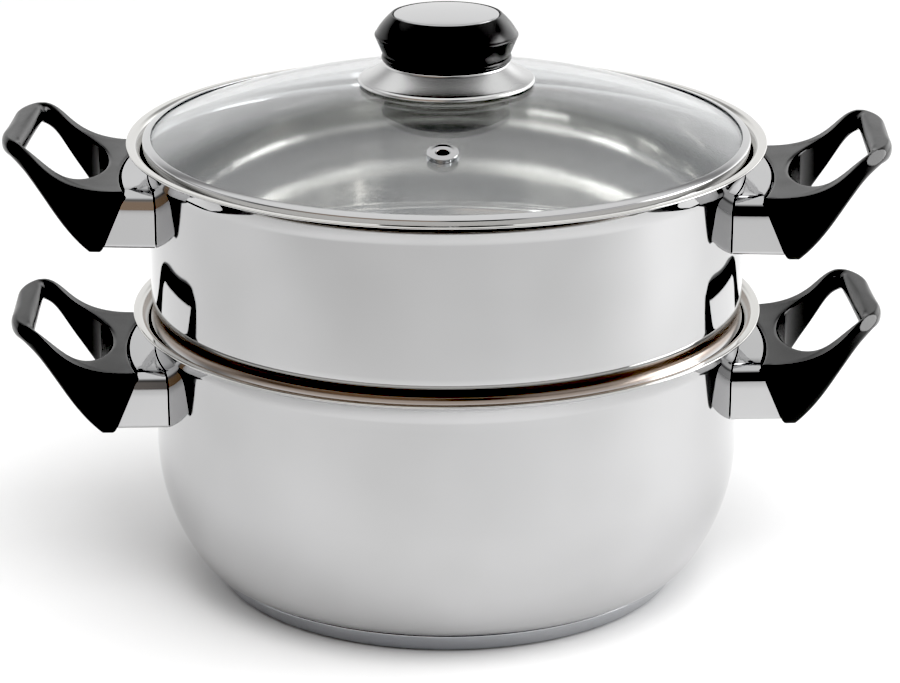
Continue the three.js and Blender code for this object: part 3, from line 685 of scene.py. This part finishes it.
# %% [markdown]
# ## Handles
#
# Each handle is a polished steel guard that keeps flame off the resin, and a moulded loop.
# The loop is a ring round the finger opening whose section changes all the way: deep and
# wide at the root, slim at the bar. So it is lofted on four rails: the outer and the inner
# outline, at the deck and at the keel. A rounded square carried between them is the section.
# The outer corners have small oval flats, which catch the light.

# %% Handle sizes
GUARD_WIDTH = 73.4
GUARD_HEIGHT = 21.7
GUARD_SHEET = 1.0
GUARD_TOP_LENGTH = 9.7
GUARD_SLANT = 0.41
GUARD_TOP_ROUND = 4.5
GUARD_SIDE_ROUND = 9
GUARD_BOTTOM_ROUND = 1.4
GRIP_WIDTH = 74
GRIP_REACH = 53.1
GRIP_RISE = 16.8
GRIP_SKIRT = 1.5
GRIP_CORNER = (18, 24)
GRIP_ARM = 7.6
GRIP_ROOT = 6.7
BAR_DEPTH = 8.9
BAR_NOSE = 4.7
BAR_THICKNESS = 6.3
DECK_SWEEP_START = 10.5
DECK_SWEEP_END = 13
KEEL_START = 18.7
KEEL_FLAT = (14.4, 11.7)
KEEL_END = (10.8, 3.2)
OPENING_ROUND = 16
OPENING_CORNER = 5
SEAT_GAP = 0.3
STUD_DROP = 10
grip_bottom = -GUARD_HEIGHT - GRIP_SKIRT
bar_middle = GRIP_REACH - BAR_NOSE
bar_bottom = GRIP_RISE - BAR_THICKNESS


def height_on(points):
    """A function that reads the height of a curve at any distance from the wall."""
    return lambda x: np.interp(x, points[:, 0], points[:, 1])


deck = height_on(curve([
    (GUARD_TOP_LENGTH, 0), (bar_middle - DECK_SWEEP_START, 0),
    (bar_middle - DECK_SWEEP_END, GRIP_RISE), (bar_middle, GRIP_RISE),
], 60))
keel = height_on(curve([
    (KEEL_START, grip_bottom), (KEEL_START + KEEL_FLAT[0], grip_bottom + KEEL_FLAT[1]),
    (bar_middle - KEEL_END[0], bar_bottom - KEEL_END[1]), (bar_middle, bar_bottom),
], 60))


def joint_reach(wall_radius, w, z, extra):
    """How far from the wall the slanted joint cone lies, at width w and height z."""
    radius = wall_radius + GUARD_TOP_LENGTH - GUARD_SLANT * z + extra
    return np.sqrt(radius**2 - w**2) - wall_radius


def on_keel(wall_radius, w, extra):
    """Where the joint cone meets the keel: the height is found by a few repeated substitutions."""
    z = np.full_like(w, grip_bottom)
    for _ in range(30):
        z = keel(joint_reach(wall_radius, w, z, extra))
    return joint_reach(wall_radius, w, z, extra)


# %% Loop rails
ROOT_STEPS = 40
ARM_STEPS = 24
CORNER_STEPS = 40
BAR_STEPS = 16


def loop_rails(wall_radius):
    """Stations round the loop: distance from the wall at deck and keel and width, outer and inner."""
    half = GRIP_WIDTH / 2
    inner_half = half - GRIP_ARM
    bar_side = GRIP_REACH - BAR_DEPTH
    share = np.linspace(-1, 1, ROOT_STEPS + 1)
    root_w = half * share
    root_top = joint_reach(wall_radius, root_w, 0, SEAT_GAP)
    root_low = on_keel(wall_radius, root_w, SEAT_GAP)
    round_middle = GUARD_TOP_LENGTH + GRIP_ROOT + OPENING_ROUND
    angle = share * math.pi / 2
    eye_w = inner_half * np.sin(angle)
    eye_top = round_middle - OPENING_ROUND * np.cos(angle)
    eye_low = np.maximum(eye_top, on_keel(wall_radius, eye_w, GRIP_ROOT))

    arm = np.linspace(0, 1, ARM_STEPS + 1)[1:-1]
    arm_end = GRIP_REACH - GRIP_CORNER[0]
    eye_end = bar_side - OPENING_CORNER
    arm_top = root_top[-1] + (arm_end - root_top[-1]) * arm
    arm_low = root_low[-1] + (arm_end - root_low[-1]) * arm
    side_top = eye_top[-1] + (eye_end - eye_top[-1]) * arm
    side_low = eye_low[-1] + (eye_end - eye_low[-1]) * arm

    outer_corner = arc((arm_end, half - GRIP_CORNER[1]), GRIP_CORNER, 90, 0, CORNER_STEPS)
    inner_corner = arc((eye_end, inner_half - OPENING_CORNER), OPENING_CORNER, 90, 0, CORNER_STEPS)
    bar = np.linspace(1, -1, BAR_STEPS + 1)[1:-1]
    bar_w = (half - GRIP_CORNER[1]) * bar
    slot_w = (inner_half - OPENING_CORNER) * bar

    def ring(root, arm_x, corner, bar_x):
        """Root, arm, corner, bar, and the same corner and arm back again."""
        return np.concatenate([root, arm_x, corner, np.full(len(bar), bar_x), corner[::-1], arm_x[::-1]])

    flat_arm = np.ones(len(arm))
    outer_w = np.concatenate([
        root_w, half * flat_arm, outer_corner[:, 1], bar_w, -outer_corner[::-1, 1], -half * flat_arm,
    ])
    inner_w = np.concatenate([
        eye_w, inner_half * flat_arm, inner_corner[:, 1],
        slot_w, -inner_corner[::-1, 1], -inner_half * flat_arm,
    ])
    return {
        "outer_top": ring(root_top, arm_top, outer_corner[:, 0], GRIP_REACH),
        "outer_low": ring(root_low, arm_low, outer_corner[:, 0], GRIP_REACH),
        "outer_w": outer_w,
        "inner_top": ring(eye_top, side_top, inner_corner[:, 0], bar_side),
        "inner_low": ring(eye_low, side_low, inner_corner[:, 0], bar_side),
        "inner_w": inner_w,
    }


# %% Loop section
SECTION_CORNER_STEPS = 10
SECTION_SIDE_STEPS = 6
ARM_ROUND = 1.8
BAR_ROUND = 3.1
FLAT_FACING = (0.60, 0.66, 0.45)
FLAT_DEPTH = 1.1
ROUND_SHARE_LIMIT = 0.45


def rounded_square(round_a, round_b):
    """Unit square with elliptic corners; a runs from inner to outer rail, b from keel to deck."""
    quarter = np.linspace(0, math.pi / 2, SECTION_CORNER_STEPS + 1)
    side = np.linspace(0, 1, SECTION_SIDE_STEPS + 1)[1:-1]
    corners_a, corners_b = [], []
    for turn, (at_a, at_b) in enumerate([(1, 1), (0, 1), (0, 0), (1, 0)]):
        angle = quarter + turn * math.pi / 2
        corners_a.append(at_a + round_a[:, None] * (1 - 2 * at_a + np.cos(angle)))
        corners_b.append(at_b + round_b[:, None] * (1 - 2 * at_b + np.sin(angle)))

    def outline(corners):
        """Each corner, then a straight side to the start of the next one."""
        runs = []
        for corner, following in zip(corners, corners[1:] + corners[:1]):
            runs += [corner, corner[:, -1:] + (following[:, :1] - corner[:, -1:]) * side]
        return np.hstack(runs)

    return outline(corners_a), outline(corners_b)


def with_flats(points):
    """Outer corners cut flat: a point beyond a slanted plane moves back along the plane's normal."""
    for side in (-1, 1):
        facing = np.array(FLAT_FACING) * (1, side, 1)
        facing /= np.linalg.norm(facing)
        reach = points @ facing
        beyond = np.maximum(reach - reach.max() + FLAT_DEPTH, 0)
        points = points - beyond[..., None] * facing
    return points


def loop_points(wall_radius):
    """Each station's section: x and height are mixed between keel and deck, w between the rails."""
    rail = loop_rails(wall_radius)
    width = np.hypot(rail["outer_top"] - rail["inner_top"], rail["outer_w"] - rail["inner_w"])
    depth = deck(rail["outer_top"]) - keel(rail["outer_low"])
    at_bar = np.clip((rail["outer_top"] - GUARD_TOP_LENGTH) / (GRIP_REACH - GUARD_TOP_LENGTH), 0, 1)
    radius = ARM_ROUND + (BAR_ROUND - ARM_ROUND) * at_bar
    round_a = np.minimum(radius / width, ROUND_SHARE_LIMIT)
    round_b = np.minimum(radius / depth, ROUND_SHARE_LIMIT)
    a, b = rounded_square(round_a, round_b)
    top_x = rail["inner_top"][:, None] + (rail["outer_top"] - rail["inner_top"])[:, None] * a
    low_x = rail["inner_low"][:, None] + (rail["outer_low"] - rail["inner_low"])[:, None] * a
    w = rail["inner_w"][:, None] + (rail["outer_w"] - rail["inner_w"])[:, None] * a
    x = low_x + (top_x - low_x) * b
    z = keel(low_x) + (deck(top_x) - keel(low_x)) * b
    return with_flats(np.stack([x, w, z], axis=-1))


# %% [markdown]
# The guard is a folded box sleeve. Its section is a rectangle whose two upper edges round
# over gently. Every point of the section runs straight out from the wall to the slanted joint,
# turns round the sheet's edge and runs back inside, so the grid closes both ways.

# %% Guard surface
GUARD_RUN_STEPS = 8
GUARD_LEAST_ROUND = 0.4


def guard_section(inset):
    """Closed outline of the sleeve in width and height, drawn in by the inset."""
    half, top, bottom = GUARD_WIDTH / 2 - inset, -inset, inset - GUARD_HEIGHT
    upper, side = GUARD_TOP_ROUND - inset, GUARD_SIDE_ROUND - inset
    lower = max(GUARD_BOTTOM_ROUND - inset, GUARD_LEAST_ROUND)
    corners = [
        arc((half - upper, top - side), (upper, side), 0, 90, 16),
        arc((upper - half, top - side), (upper, side), 90, 180, 16),
        arc((lower - half, bottom + lower), lower, 180, 270, 8),
        arc((half - lower, bottom + lower), lower, 270, 360, 8),
    ]
    runs = []
    for k, corner in enumerate(corners):
        following = corners[(k + 1) % 4]
        runs += [corner, straight(corner[-1], following[0], 12)[1:-1]]
    return np.vstack(runs)


def guard_points(wall_radius):
    """Outer skin from wall to joint, then inner skin from joint back to the wall."""
    rows = []
    share = np.linspace(0, 1, GUARD_RUN_STEPS + 1)
    for inset, order in ((0.0, share), (GUARD_SHEET, share[::-1])):
        outline = guard_section(inset)
        w, z = outline[:, 0], outline[:, 1]
        start = np.sqrt((wall_radius + SEAT_GAP) ** 2 - w**2) - wall_radius
        end = joint_reach(wall_radius, w, z, 0)
        x = start + (end - start) * order[:, None]
        rows.append(np.stack([x, np.broadcast_to(w, x.shape), np.broadcast_to(z, x.shape)], axis=-1))
    return np.concatenate(rows)


# %% [markdown]
# A pan-head screw inside each loop pulls the resin onto the stud that is welded to the wall.
# Its head is a low dome with a cross pressed into it: the height is a dome minus two slots.

# %% Screw surface
SCREW_SEAT_DEPTH = 3.6
SCREW_HEAD_RADIUS = 4.2
SCREW_HEAD_HEIGHT = 2.4
SCREW_SIDE_SHARE = 0.45
SCREW_SIDES = 96
CROSS_WIDTH = 1.0
CROSS_LENGTH = 4.6
CROSS_DEPTH = 1.5
CROSS_SHARPNESS = 12.0


def slot_share(across, along):
    """One inside a slot and none outside: a logistic step at its width times one at its length."""
    width = 1 + np.exp(CROSS_SHARPNESS * (np.abs(across) - CROSS_WIDTH / 2))
    length = 1 + np.exp(CROSS_SHARPNESS * (np.abs(along) - CROSS_LENGTH / 2))
    return 1 / width / length


def screw_points():
    """Polar grid: a flat underside, a short side and a domed top; the cross is sunk smoothly."""
    seat = GUARD_TOP_LENGTH + GUARD_SLANT * STUD_DROP + 2 * SEAT_GAP + SCREW_SEAT_DEPTH
    side_height = SCREW_HEAD_HEIGHT * SCREW_SIDE_SHARE
    below = joined(
        straight((0, 0), (SCREW_HEAD_RADIUS, 0), 4),
        straight((SCREW_HEAD_RADIUS, 0), (SCREW_HEAD_RADIUS, side_height), 3),
    )
    dome = arc((0, side_height), (SCREW_HEAD_RADIUS, SCREW_HEAD_HEIGHT - side_height), 0, 90, 40)
    y, z, out = np.moveaxis(lathe_points(joined(below, dome), SCREW_SIDES), -1, 0)
    on_dome = np.arange(len(out))[:, None] >= len(below)
    cross = np.maximum(slot_share(y, z), slot_share(z, y))
    out = np.where(on_dome, out - CROSS_DEPTH * cross, out)
    return np.stack([seat + out, y, z - STUD_DROP], axis=-1)


# %% Place the handles
def placed(points, wall_radius, level, angle):
    """Handle points moved out to the wall, up to their level and turned round the pot."""
    x, w, z = points[..., 0] + wall_radius, points[..., 1], points[..., 2] + level
    turned_x = x * math.cos(angle) - w * math.sin(angle)
    turned_y = x * math.sin(angle) + w * math.cos(angle)
    return np.stack([turned_x, turned_y, z], axis=-1)


def handle_angle(body, side):
    """Direction of a handle, read from the middle of its stud in the frame."""
    low, high = node_box(f"{body}_stud_{side}")
    middle = (low + high) / 2
    return math.atan2(middle[1], middle[0])


def make_handle(body, side, wall_radius):
    """Guard, loop and screw of one handle, at the place that the frame gives."""
    level = node_box(f"{body}_guard_{side}")[1][2]
    angle = handle_angle(body, side)
    for part, points, material, slot, closed in (
        ("guard", guard_points(wall_radius), polished_steel, "polished_steel", True),
        ("grip", loop_points(wall_radius), phenolic, "bakelite", True),
        ("screw", screw_points(), plain_steel, "plain_steel", False),
    ):
        rows, columns = points.shape[:2]
        place = placed(points, wall_radius, level, angle).reshape(-1, 3)
        piece = new_piece(f"{body}_{part}_{side}_form", place, grid_quads(rows, columns, closed, True))
        dress(piece, material, body, slot, f"{body}_{part}_{side}")
    coat(f"{body}_stud_{side}", plain_steel)


for body, wall_radius in (("pot", pot_wall), ("steamer", steamer_wall)):
    for side in ("right", "left"):
        make_handle(body, side, wall_radius)

# %% [markdown]
# ## The lid
#
# The glass is a shallow cap of a sphere with a ground edge, bored for the knob and the vent.
# It is triangulated flat like the steamer's floor, then lifted onto two spheres. A folded
# steel band grips its edge: a lip over the glass, an outer wall that rests on the brim, a
# slant under the glass and a skirt that keeps the lid centred in the steamer.

# %% Glass dome
DOME_RISE = 22.4
DOME_RINGS = 44
GLASS_THICKNESS = 4
GLASS_EDGE_SLANT = 2.6
GLASS_EDGE_BULGE = 0.2
KNOB_BORE = 4.0
BORE_MARGIN = 1
VENT_DISTANCE = 74
VENT_TUBE_RADIUS = 3.5

glass_high = node_box("lid_glass")[1]
glass_radius, dome_top = glass_high[0], glass_high[2]
dome_radius = (glass_radius**2 + DOME_RISE**2) / (2 * DOME_RISE)
dome_middle = dome_top - dome_radius
inner_share = 1 - GLASS_THICKNESS / dome_radius
edge_radius = glass_radius - GLASS_EDGE_SLANT
plain_radius = edge_radius / inner_share
vent_low, vent_high = node_box("steam_vent")
vent_azimuth = math.atan2(vent_low[1] + vent_high[1], vent_low[0] + vent_high[0])
vent_middle = VENT_DISTANCE * np.array([math.cos(vent_azimuth), math.sin(vent_azimuth)])


def dome_height(radius, depth=0.0):
    """Height of the dome's outside, or of a sphere that lies the depth inside it."""
    return dome_middle + np.sqrt((dome_radius - depth) ** 2 - np.square(radius))


def dome_fill(bore):
    """Rings of points over the dome, without those that would crowd the knob's or the vent's bore."""
    radii = np.linspace(0, glass_radius, DOME_RINGS + 2)[1:-1]
    points = np.vstack([circle(radius, SIDES // 2) for radius in radii])
    reach = np.linalg.norm(points, axis=1)
    clear = (reach > KNOB_BORE + BORE_MARGIN) & (reach < plain_radius - BORE_MARGIN)
    from_vent = np.linalg.norm(points - bore[:2], axis=1)
    return points[clear & (from_vent > bore[2] + BORE_MARGIN)]


def make_glass():
    """Both sides of the dome, pierced for knob and vent along the dome's normal, and its ground edge."""
    bore = np.array([*vent_middle, VENT_TUBE_RADIUS + SEAT_GAP])
    holes = np.array([(0, 0, KNOB_BORE), bore])
    flat, triangles, hole_edges = pierced(plain_radius, holes, dome_fill(bore))
    above = np.column_stack([flat, dome_height(np.linalg.norm(flat, axis=1))])
    centre = np.array([0, 0, dome_middle])
    below = centre + (above - centre) * inner_share
    low = (edge_radius, dome_height(edge_radius, GLASS_THICKNESS))
    high = (glass_radius, dome_height(glass_radius))
    side = (glass_radius + GLASS_EDGE_BULGE, (low[1] + high[1]) / 2)
    rim = joined(curve([low, side, high], 6), (plain_radius, dome_height(plain_radius)))
    ring = lathe_points(rim, SIDES).reshape(-1, 3)
    faces = pierced_faces(triangles, hole_edges, len(flat))
    faces += (grid_quads(len(rim), SIDES, False, True) + 2 * len(flat)).tolist()
    piece = new_piece("lid_dome", np.vstack([below, above, ring]), faces)
    return dress(piece, glass, "lid", "lid_glass", "lid_glass")


make_glass()

# %% Steel band
BAND_SHEET = 0.6
BAND_COVER = 2.8
BAND_SKIRT = 6
SKIRT_CLEARANCE = 1
LIP_ROUND = 0.7
LIP_LEAN = 0.36
FOLD_ROUND = 1

band_low, band_high = node_box("lid_band")


def make_band():
    """Fold drawn from skirt to lip on its outside; the inside is offset by the band's sheet."""
    band_radius = band_high[0]
    skirt = steamer_wall - SHEET - SKIRT_CLEARANCE
    lip = band_radius - BAND_COVER
    lip_top = dome_height(lip) + SEAT_GAP + BAND_SHEET
    wall_top = lip_top - (dome_height(lip) - dome_height(band_radius - BAND_SHEET))
    fold = band_low[2] + BAND_SKIRT
    slant_top = fold + (band_radius - skirt)
    outside = joined(
        straight((skirt, band_low[2]), (skirt, fold - FOLD_ROUND), 4),
        curve([(skirt, fold - FOLD_ROUND), (skirt, fold), (skirt + FOLD_ROUND, fold + FOLD_ROUND)], 5),
        curve([
            (band_radius - LIP_ROUND, slant_top - LIP_ROUND), (band_radius, slant_top),
            (band_radius, slant_top + LIP_ROUND),
        ], 6),
        curve([
            (band_radius, wall_top - LIP_ROUND), (band_radius, wall_top),
            (band_radius - LIP_ROUND, wall_top + LIP_ROUND * LIP_LEAN),
        ], 6),
        (lip, lip_top),
    )
    piece = turned("lid_band_fold", sheet_profile(outside, BAND_SHEET), SIDES, closed=True)
    return dress(piece, bright_steel, "lid", "polished_steel", "lid_band")


make_band()

# %% [markdown]
# The steam vent is a steel eyelet, flared over both faces of the glass. It stands square to
# the dome, so its ring is made about the Z axis, then leaned outward by the dome's slope.

# %% Steam vent
VENT_HOLE_RADIUS = 2
VENT_FLANGE_RADIUS = 5.8
VENT_FLANGE = 0.8
VENT_EDGE_ROUND = 0.3
VENT_CREST = 1.4
VENT_BORE_EDGE = 0.05
VENT_SIDES = 64


def make_vent():
    """Eyelet profile as a closed ring, leaned to the dome's normal and turned to its place."""
    tilt = math.asin(VENT_DISTANCE / dome_radius)
    over, under = SEAT_GAP, -GLASS_THICKNESS - SEAT_GAP
    edge = VENT_FLANGE_RADIUS - VENT_EDGE_ROUND
    profile = joined(
        (VENT_HOLE_RADIUS, under - VENT_FLANGE), (VENT_FLANGE_RADIUS, under - VENT_FLANGE),
        (VENT_FLANGE_RADIUS, under), (VENT_TUBE_RADIUS, under), (VENT_TUBE_RADIUS, over),
        straight((VENT_TUBE_RADIUS, over), (edge, over), 2),
        arc((edge, over + VENT_EDGE_ROUND), VENT_EDGE_ROUND, -90, 60, 5),
        arc((VENT_HOLE_RADIUS + VENT_CREST, over), (VENT_CREST, VENT_FLANGE), 60, 180, 8),
        straight((VENT_HOLE_RADIUS, over), (VENT_HOLE_RADIUS, under), 4),
    )
    x, y, z = np.moveaxis(lathe_points(profile, VENT_SIDES), -1, 0)
    lean_x = x * math.cos(tilt) + z * math.sin(tilt) + VENT_DISTANCE
    lean_z = z * math.cos(tilt) - x * math.sin(tilt) + dome_height(VENT_DISTANCE)
    points = np.stack([
        lean_x * math.cos(vent_azimuth) - y * math.sin(vent_azimuth),
        lean_x * math.sin(vent_azimuth) + y * math.cos(vent_azimuth), lean_z,
    ], axis=-1)
    # Painted shade: the vent's bore is coloured darker brown so that the hole reads dark.
    bore = np.where(profile[:, 0] < VENT_HOLE_RADIUS + VENT_BORE_EDGE, 1.0, 0.0)
    marks = {"painted_shade": np.repeat(bore, VENT_SIDES)}
    faces = grid_quads(len(profile), VENT_SIDES, True, True)
    piece = new_piece("steam_vent_eyelet", points.reshape(-1, 3), faces, marks)
    return dress(piece, polished_steel, "lid", "polished_steel", "steam_vent")


make_vent()

# %% [markdown]
# ## The knob
#
# A spun steel base spreads the load on the glass. The knob on it is turned in the mould: a
# bead above the base, a waist that flares to a belt, a round shoulder, and a recess for the
# polished disc. A screw from under the glass holds it all, through a washer and a seal.

# %% Knob base
KNOB_SIDES = 160
KNOB_BASE_LIP = 1.6
KNOB_BASE_EDGE = 0.3
KNOB_BASE_SWEEP = (4.6, 1.6)
KNOB_NECK = 23.7
KNOB_SEAT_ROUND = 1.2
KNOB_SCREW_RADIUS = 2.5

knob_base_low, knob_base_high = node_box("knob_base")


def make_knob_base():
    """Concave cone from the glass up to a flat seat, with a turned lip at its foot."""
    rim, top, radius = knob_base_low[2], knob_base_high[2], knob_base_high[0]
    lip = rim + KNOB_BASE_LIP
    neck = (KNOB_NECK, top - 1)
    seat = (KNOB_NECK - KNOB_SEAT_ROUND, top)
    sweep = (KNOB_NECK + KNOB_BASE_SWEEP[0], lip + KNOB_BASE_SWEEP[1])
    waist = curve([(radius - 1, lip), sweep, neck], 24)[1:]
    outside = joined(
        (radius - KNOB_BASE_EDGE, rim),
        curve([(radius, rim + KNOB_BASE_EDGE), (radius, lip), waist[0]], 8),
        waist,
        curve([neck, (KNOB_NECK - 0.1, top), seat], 5),
        straight(seat, (KNOB_SCREW_RADIUS + SEAT_GAP, top), 8),
    )
    piece = turned("knob_base_cone", sheet_profile(outside, SHEET), KNOB_SIDES, closed=True)
    return dress(piece, spun_steel, "lid", "polished_steel", "knob_base")


make_knob_base()

# %% Knob and disc
KNOB_BEAD = 0.6
KNOB_BEAD_HEIGHT = 2
KNOB_BELT_HEIGHT = 9.6
KNOB_BELT_ROUND = 0.8
KNOB_SHOULDER_FULLNESS = 0.6
KNOB_TOP_LIP = 0.6
DISC_GAP = 0.3
DISC_DEPTH = 1.9
DISC_CROWN = 0.7
DISC_EDGE = (0.5, 0.3)
RECESS_ROUND = 0.4
INSERT_RADIUS = 5.3

knob_low, knob_high = node_box("knob")
disc_high = node_box("knob_disc")[1]
disc_radius = disc_high[0]


def make_knob():
    """Closed ring round the insert: underside, bead, flaring waist, belt, shoulder and recess."""
    bottom, top, belt_radius = knob_low[2], knob_high[2], knob_high[0]
    belt = np.array([belt_radius, bottom + KNOB_BELT_HEIGHT])
    recess = disc_radius + DISC_GAP
    crest = np.array([recess + KNOB_TOP_LIP, top])
    waist = np.array([KNOB_NECK, bottom + KNOB_BEAD_HEIGHT])
    down = (waist - belt) / np.linalg.norm(waist - belt)
    up = (crest - belt) / np.linalg.norm(crest - belt)
    full = (belt + crest) / 2 + KNOB_SHOULDER_FULLNESS
    floor = top - DISC_DEPTH
    profile = joined(
        straight((INSERT_RADIUS, bottom), (KNOB_NECK - KNOB_BEAD, bottom), 6),
        arc((KNOB_NECK, bottom + KNOB_BEAD_HEIGHT / 2), (KNOB_BEAD, KNOB_BEAD_HEIGHT / 2), -90, 75, 12),
        straight(waist, belt + down * KNOB_BELT_ROUND, 8),
        curve([belt + down * KNOB_BELT_ROUND, belt + (0.2, 0), belt + up * KNOB_BELT_ROUND], 8),
        curve([belt + up * KNOB_BELT_ROUND, full, crest], 14)[1:],
        curve([crest, (recess, top + 0.05), (recess, top - RECESS_ROUND)], 5)[1:],
        straight((recess, top - RECESS_ROUND), (recess, floor), 2),
        straight((recess, floor), (INSERT_RADIUS, floor), 4),
        straight((INSERT_RADIUS, floor), (INSERT_RADIUS, bottom), 4),
    )
    piece = turned("knob_moulding", profile[:-1], KNOB_SIDES, closed=True)
    return dress(piece, phenolic, "lid", "bakelite", "knob")


def make_disc():
    """Crowned disc with a small round edge, let into the knob's recess."""
    seat, crown = knob_high[2] - DISC_DEPTH + DISC_GAP, disc_high[2]
    edge = crown - DISC_CROWN
    side_end = (disc_radius, edge - DISC_EDGE[1])
    crown_start = (disc_radius - DISC_EDGE[0], edge + 0.05)
    outside = joined(
        straight((0, seat), (disc_radius, seat), 4),
        straight((disc_radius, seat), side_end, 2),
        curve([side_end, (disc_radius, edge), crown_start], 5),
        curve([crown_start, (disc_radius / 2, crown), (0, crown)], 20),
    )
    piece = turned("knob_disc_crown", outside, KNOB_SIDES)
    return dress(piece, bright_steel, "lid", "polished_steel", "knob_disc")


make_knob()
make_disc()

# %% Fastening under the glass
RING_SIDES = 96
SCREW_EDGE = 0.4
PAN_SIDE = 0.6
PAN_SIDES = 64


def make_ring(node, name, material, slot, edge):
    """Flat ring with eased edges, its bore that of the screw, its size read from the frame."""
    low, high = node_box(node)
    bore, radius = KNOB_SCREW_RADIUS + SEAT_GAP, high[0]
    profile = joined(
        straight((bore, low[2]), (radius - edge, low[2]), 3),
        arc((radius - edge, low[2] + edge), edge, -90, 0, 4),
        arc((radius - edge, high[2] - edge), edge, 0, 90, 4),
        straight((radius - edge, high[2]), (bore, high[2]), 3),
    )
    piece = turned(name, profile, RING_SIDES, closed=True)
    return dress(piece, material, "lid", slot, node)


def make_knob_screw():
    """Low round head under the washer and a plain shank up into the knob's insert."""
    low, high = node_box("knob_screw")
    head_radius = high[1]
    head_top = node_box("knob_washer")[0][2] - SEAT_GAP
    profile = joined(
        arc((0, head_top - PAN_SIDE), (head_radius, head_top - PAN_SIDE - low[2]), -90, 0, 14),
        (head_radius, head_top), (KNOB_SCREW_RADIUS, head_top),
        (KNOB_SCREW_RADIUS, high[2] - SCREW_EDGE), (KNOB_SCREW_RADIUS - SCREW_EDGE, high[2]), (0, high[2]),
    )
    piece = turned("knob_screw_pan", profile, PAN_SIDES)
    return dress(piece, plain_steel, "lid", "plain_steel", "knob_screw")


make_ring("knob_seal", "knob_seal_ring", silicone, "silicone", 0.4)
make_ring("knob_washer", "knob_washer_ring", plain_steel, "plain_steel", 0.25)
make_knob_screw()
coat("knob_insert", brass)

# %% [markdown]
# ## The studio
#
# A mirror shows the room, so the room is half of the look. A large light on the right throws
# the soft shadow to the left. A soft box and a fill lighten paper and resin, and are kept out
# of the mirror. The sky has light overhead, a lit backdrop behind, a pale card on the right
# and a dim room in front with a wooden corner on its left. The dim room draws the dark lines
# along each brim and fold. A painted shade turns the paper light grey in front, and the walls mirror it.

# %% Floor and lights
FLOOR_SIZE = 6.0
# Painted shade: the span in front of the pot where the paper's colour turns light grey.
PAPER_PAINTED_SHADE = (-0.45, -0.12)
# Name, place, aim, size in metres, watts, and whether the mirror shows it.
LIGHTS = (
    ("key", (1.7, 0.1, 0.66), (0, 0, 0.08), 1.0, 13, True),
    ("soft_box", (0.12, -0.42, 1.05), (0, -0.1, 0), 0.7, 5, False),
    ("fill", (0.3, -1.4, 1.5), (0, -0.1, 0), 1.0, 9, False),
)


def paper_material():
    """Paper with a painted shade: pale under and behind the pot, painted a light grey in front of it."""
    material, tree, output = new_material("paper_with_painted_shade")
    place = add(tree, "ShaderNodeTexCoord")
    axes = add(tree, "ShaderNodeSeparateXYZ", {}, {"Vector": place.outputs["Object"]})
    shade = ramp(tree, axes.outputs["Y"], PAPER_PAINTED_SHADE, (0, 1), soft=True)
    shader = add(tree, "ShaderNodeBsdfPrincipled", {}, {
        "Base Color": blend(tree, shade, hex_linear("#D9D9D9"), hex_linear("#F4F4F4")), "Roughness": 0.6,
    })
    tree.links.new(shader.outputs["BSDF"], output.inputs["Surface"])
    return material


def make_floor():
    """A large sheet of paper at the height of the pot's base."""
    half = FLOOR_SIZE / 2 / MM
    points = [(-half, -half, 0), (half, -half, 0), (half, half, 0), (-half, half, 0)]
    floor = new_piece("floor", points, [(0, 1, 2, 3)])
    floor.data.materials.append(paper_material())


def make_light(name, place, aim, size, power):
    """A square area light that looks at its aim; all in metres and watts."""
    data = bpy.data.lights.new(name, "AREA")
    data.size = size
    data.energy = power
    light = bpy.data.objects.new(name, data)
    light.location = place
    light.rotation_euler = (Vector(aim) - Vector(place)).to_track_quat("-Z", "Y").to_euler()
    bpy.context.scene.collection.objects.link(light)
    return light


make_floor()
for name, place, aim, size, power, mirrored in LIGHTS:
    make_light(name, place, aim, size, power).visible_glossy = mirrored

# %% Sky and tones
OVERHEAD_EDGE, OVERHEAD_LIGHT = (0.42, 0.66), (0.06, 1.1)
LOW_EDGE = (0.3, 0.55)
BACKDROP_EDGE, BACKDROP_LIGHT = (-0.5, 0.4), 0.95
CARD_EDGE, CARD_LIGHT = (0.3, 0.5), 0.7
WOOD_EDGE, WOOD_AHEAD, WOOD_LIGHT = (-0.16, 0.02), (-0.7, -0.2), 0.8
BLACK_LEVEL = 0.075


def make_sky():
    """Light by direction: soft ramps along X, Y and Z, multiplied where they meet and then summed."""
    world = bpy.data.worlds.new("studio")
    world.use_nodes = True
    tree = world.node_tree
    place = add(tree, "ShaderNodeTexCoord")
    axes = add(tree, "ShaderNodeSeparateXYZ", {}, {"Vector": place.outputs["Generated"]}).outputs
    overhead = ramp(tree, axes["Z"], OVERHEAD_EDGE, OVERHEAD_LIGHT, soft=True)
    low = ramp(tree, axes["Z"], LOW_EDGE, (1, 0), soft=True)
    behind = ramp(tree, axes["Y"], BACKDROP_EDGE, (0, BACKDROP_LIGHT), soft=True)
    right = ramp(tree, axes["X"], CARD_EDGE, (0, CARD_LIGHT), soft=True)
    left = ramp(tree, axes["X"], WOOD_EDGE, (1, 0), soft=True)
    ahead = ramp(tree, axes["Y"], WOOD_AHEAD, (1, 0), soft=True)
    wood = product(tree, product(tree, left, ahead), low)
    light = product(tree, low, behind, overhead)
    light = product(tree, right, low, light)
    light = product(tree, wood, WOOD_LIGHT, light)
    background = tree.nodes["Background"]
    tree.links.new(light, background.inputs["Strength"])
    colour = blend(tree, wood, hex_linear("#FFFFFF"), hex_linear("#C4B2A3"))
    tree.links.new(colour, background.inputs["Color"])
    bpy.context.scene.world = world


def set_tones():
    """Plain display tones, with the deepest shade lifted out as a product photograph has it."""
    view = bpy.context.scene.view_settings
    view.view_transform = "Standard"
    view.use_curve_mapping = True
    view.curve_mapping.black_level = (BLACK_LEVEL, BLACK_LEVEL, BLACK_LEVEL)
    view.curve_mapping.update()


make_sky()
set_tones()
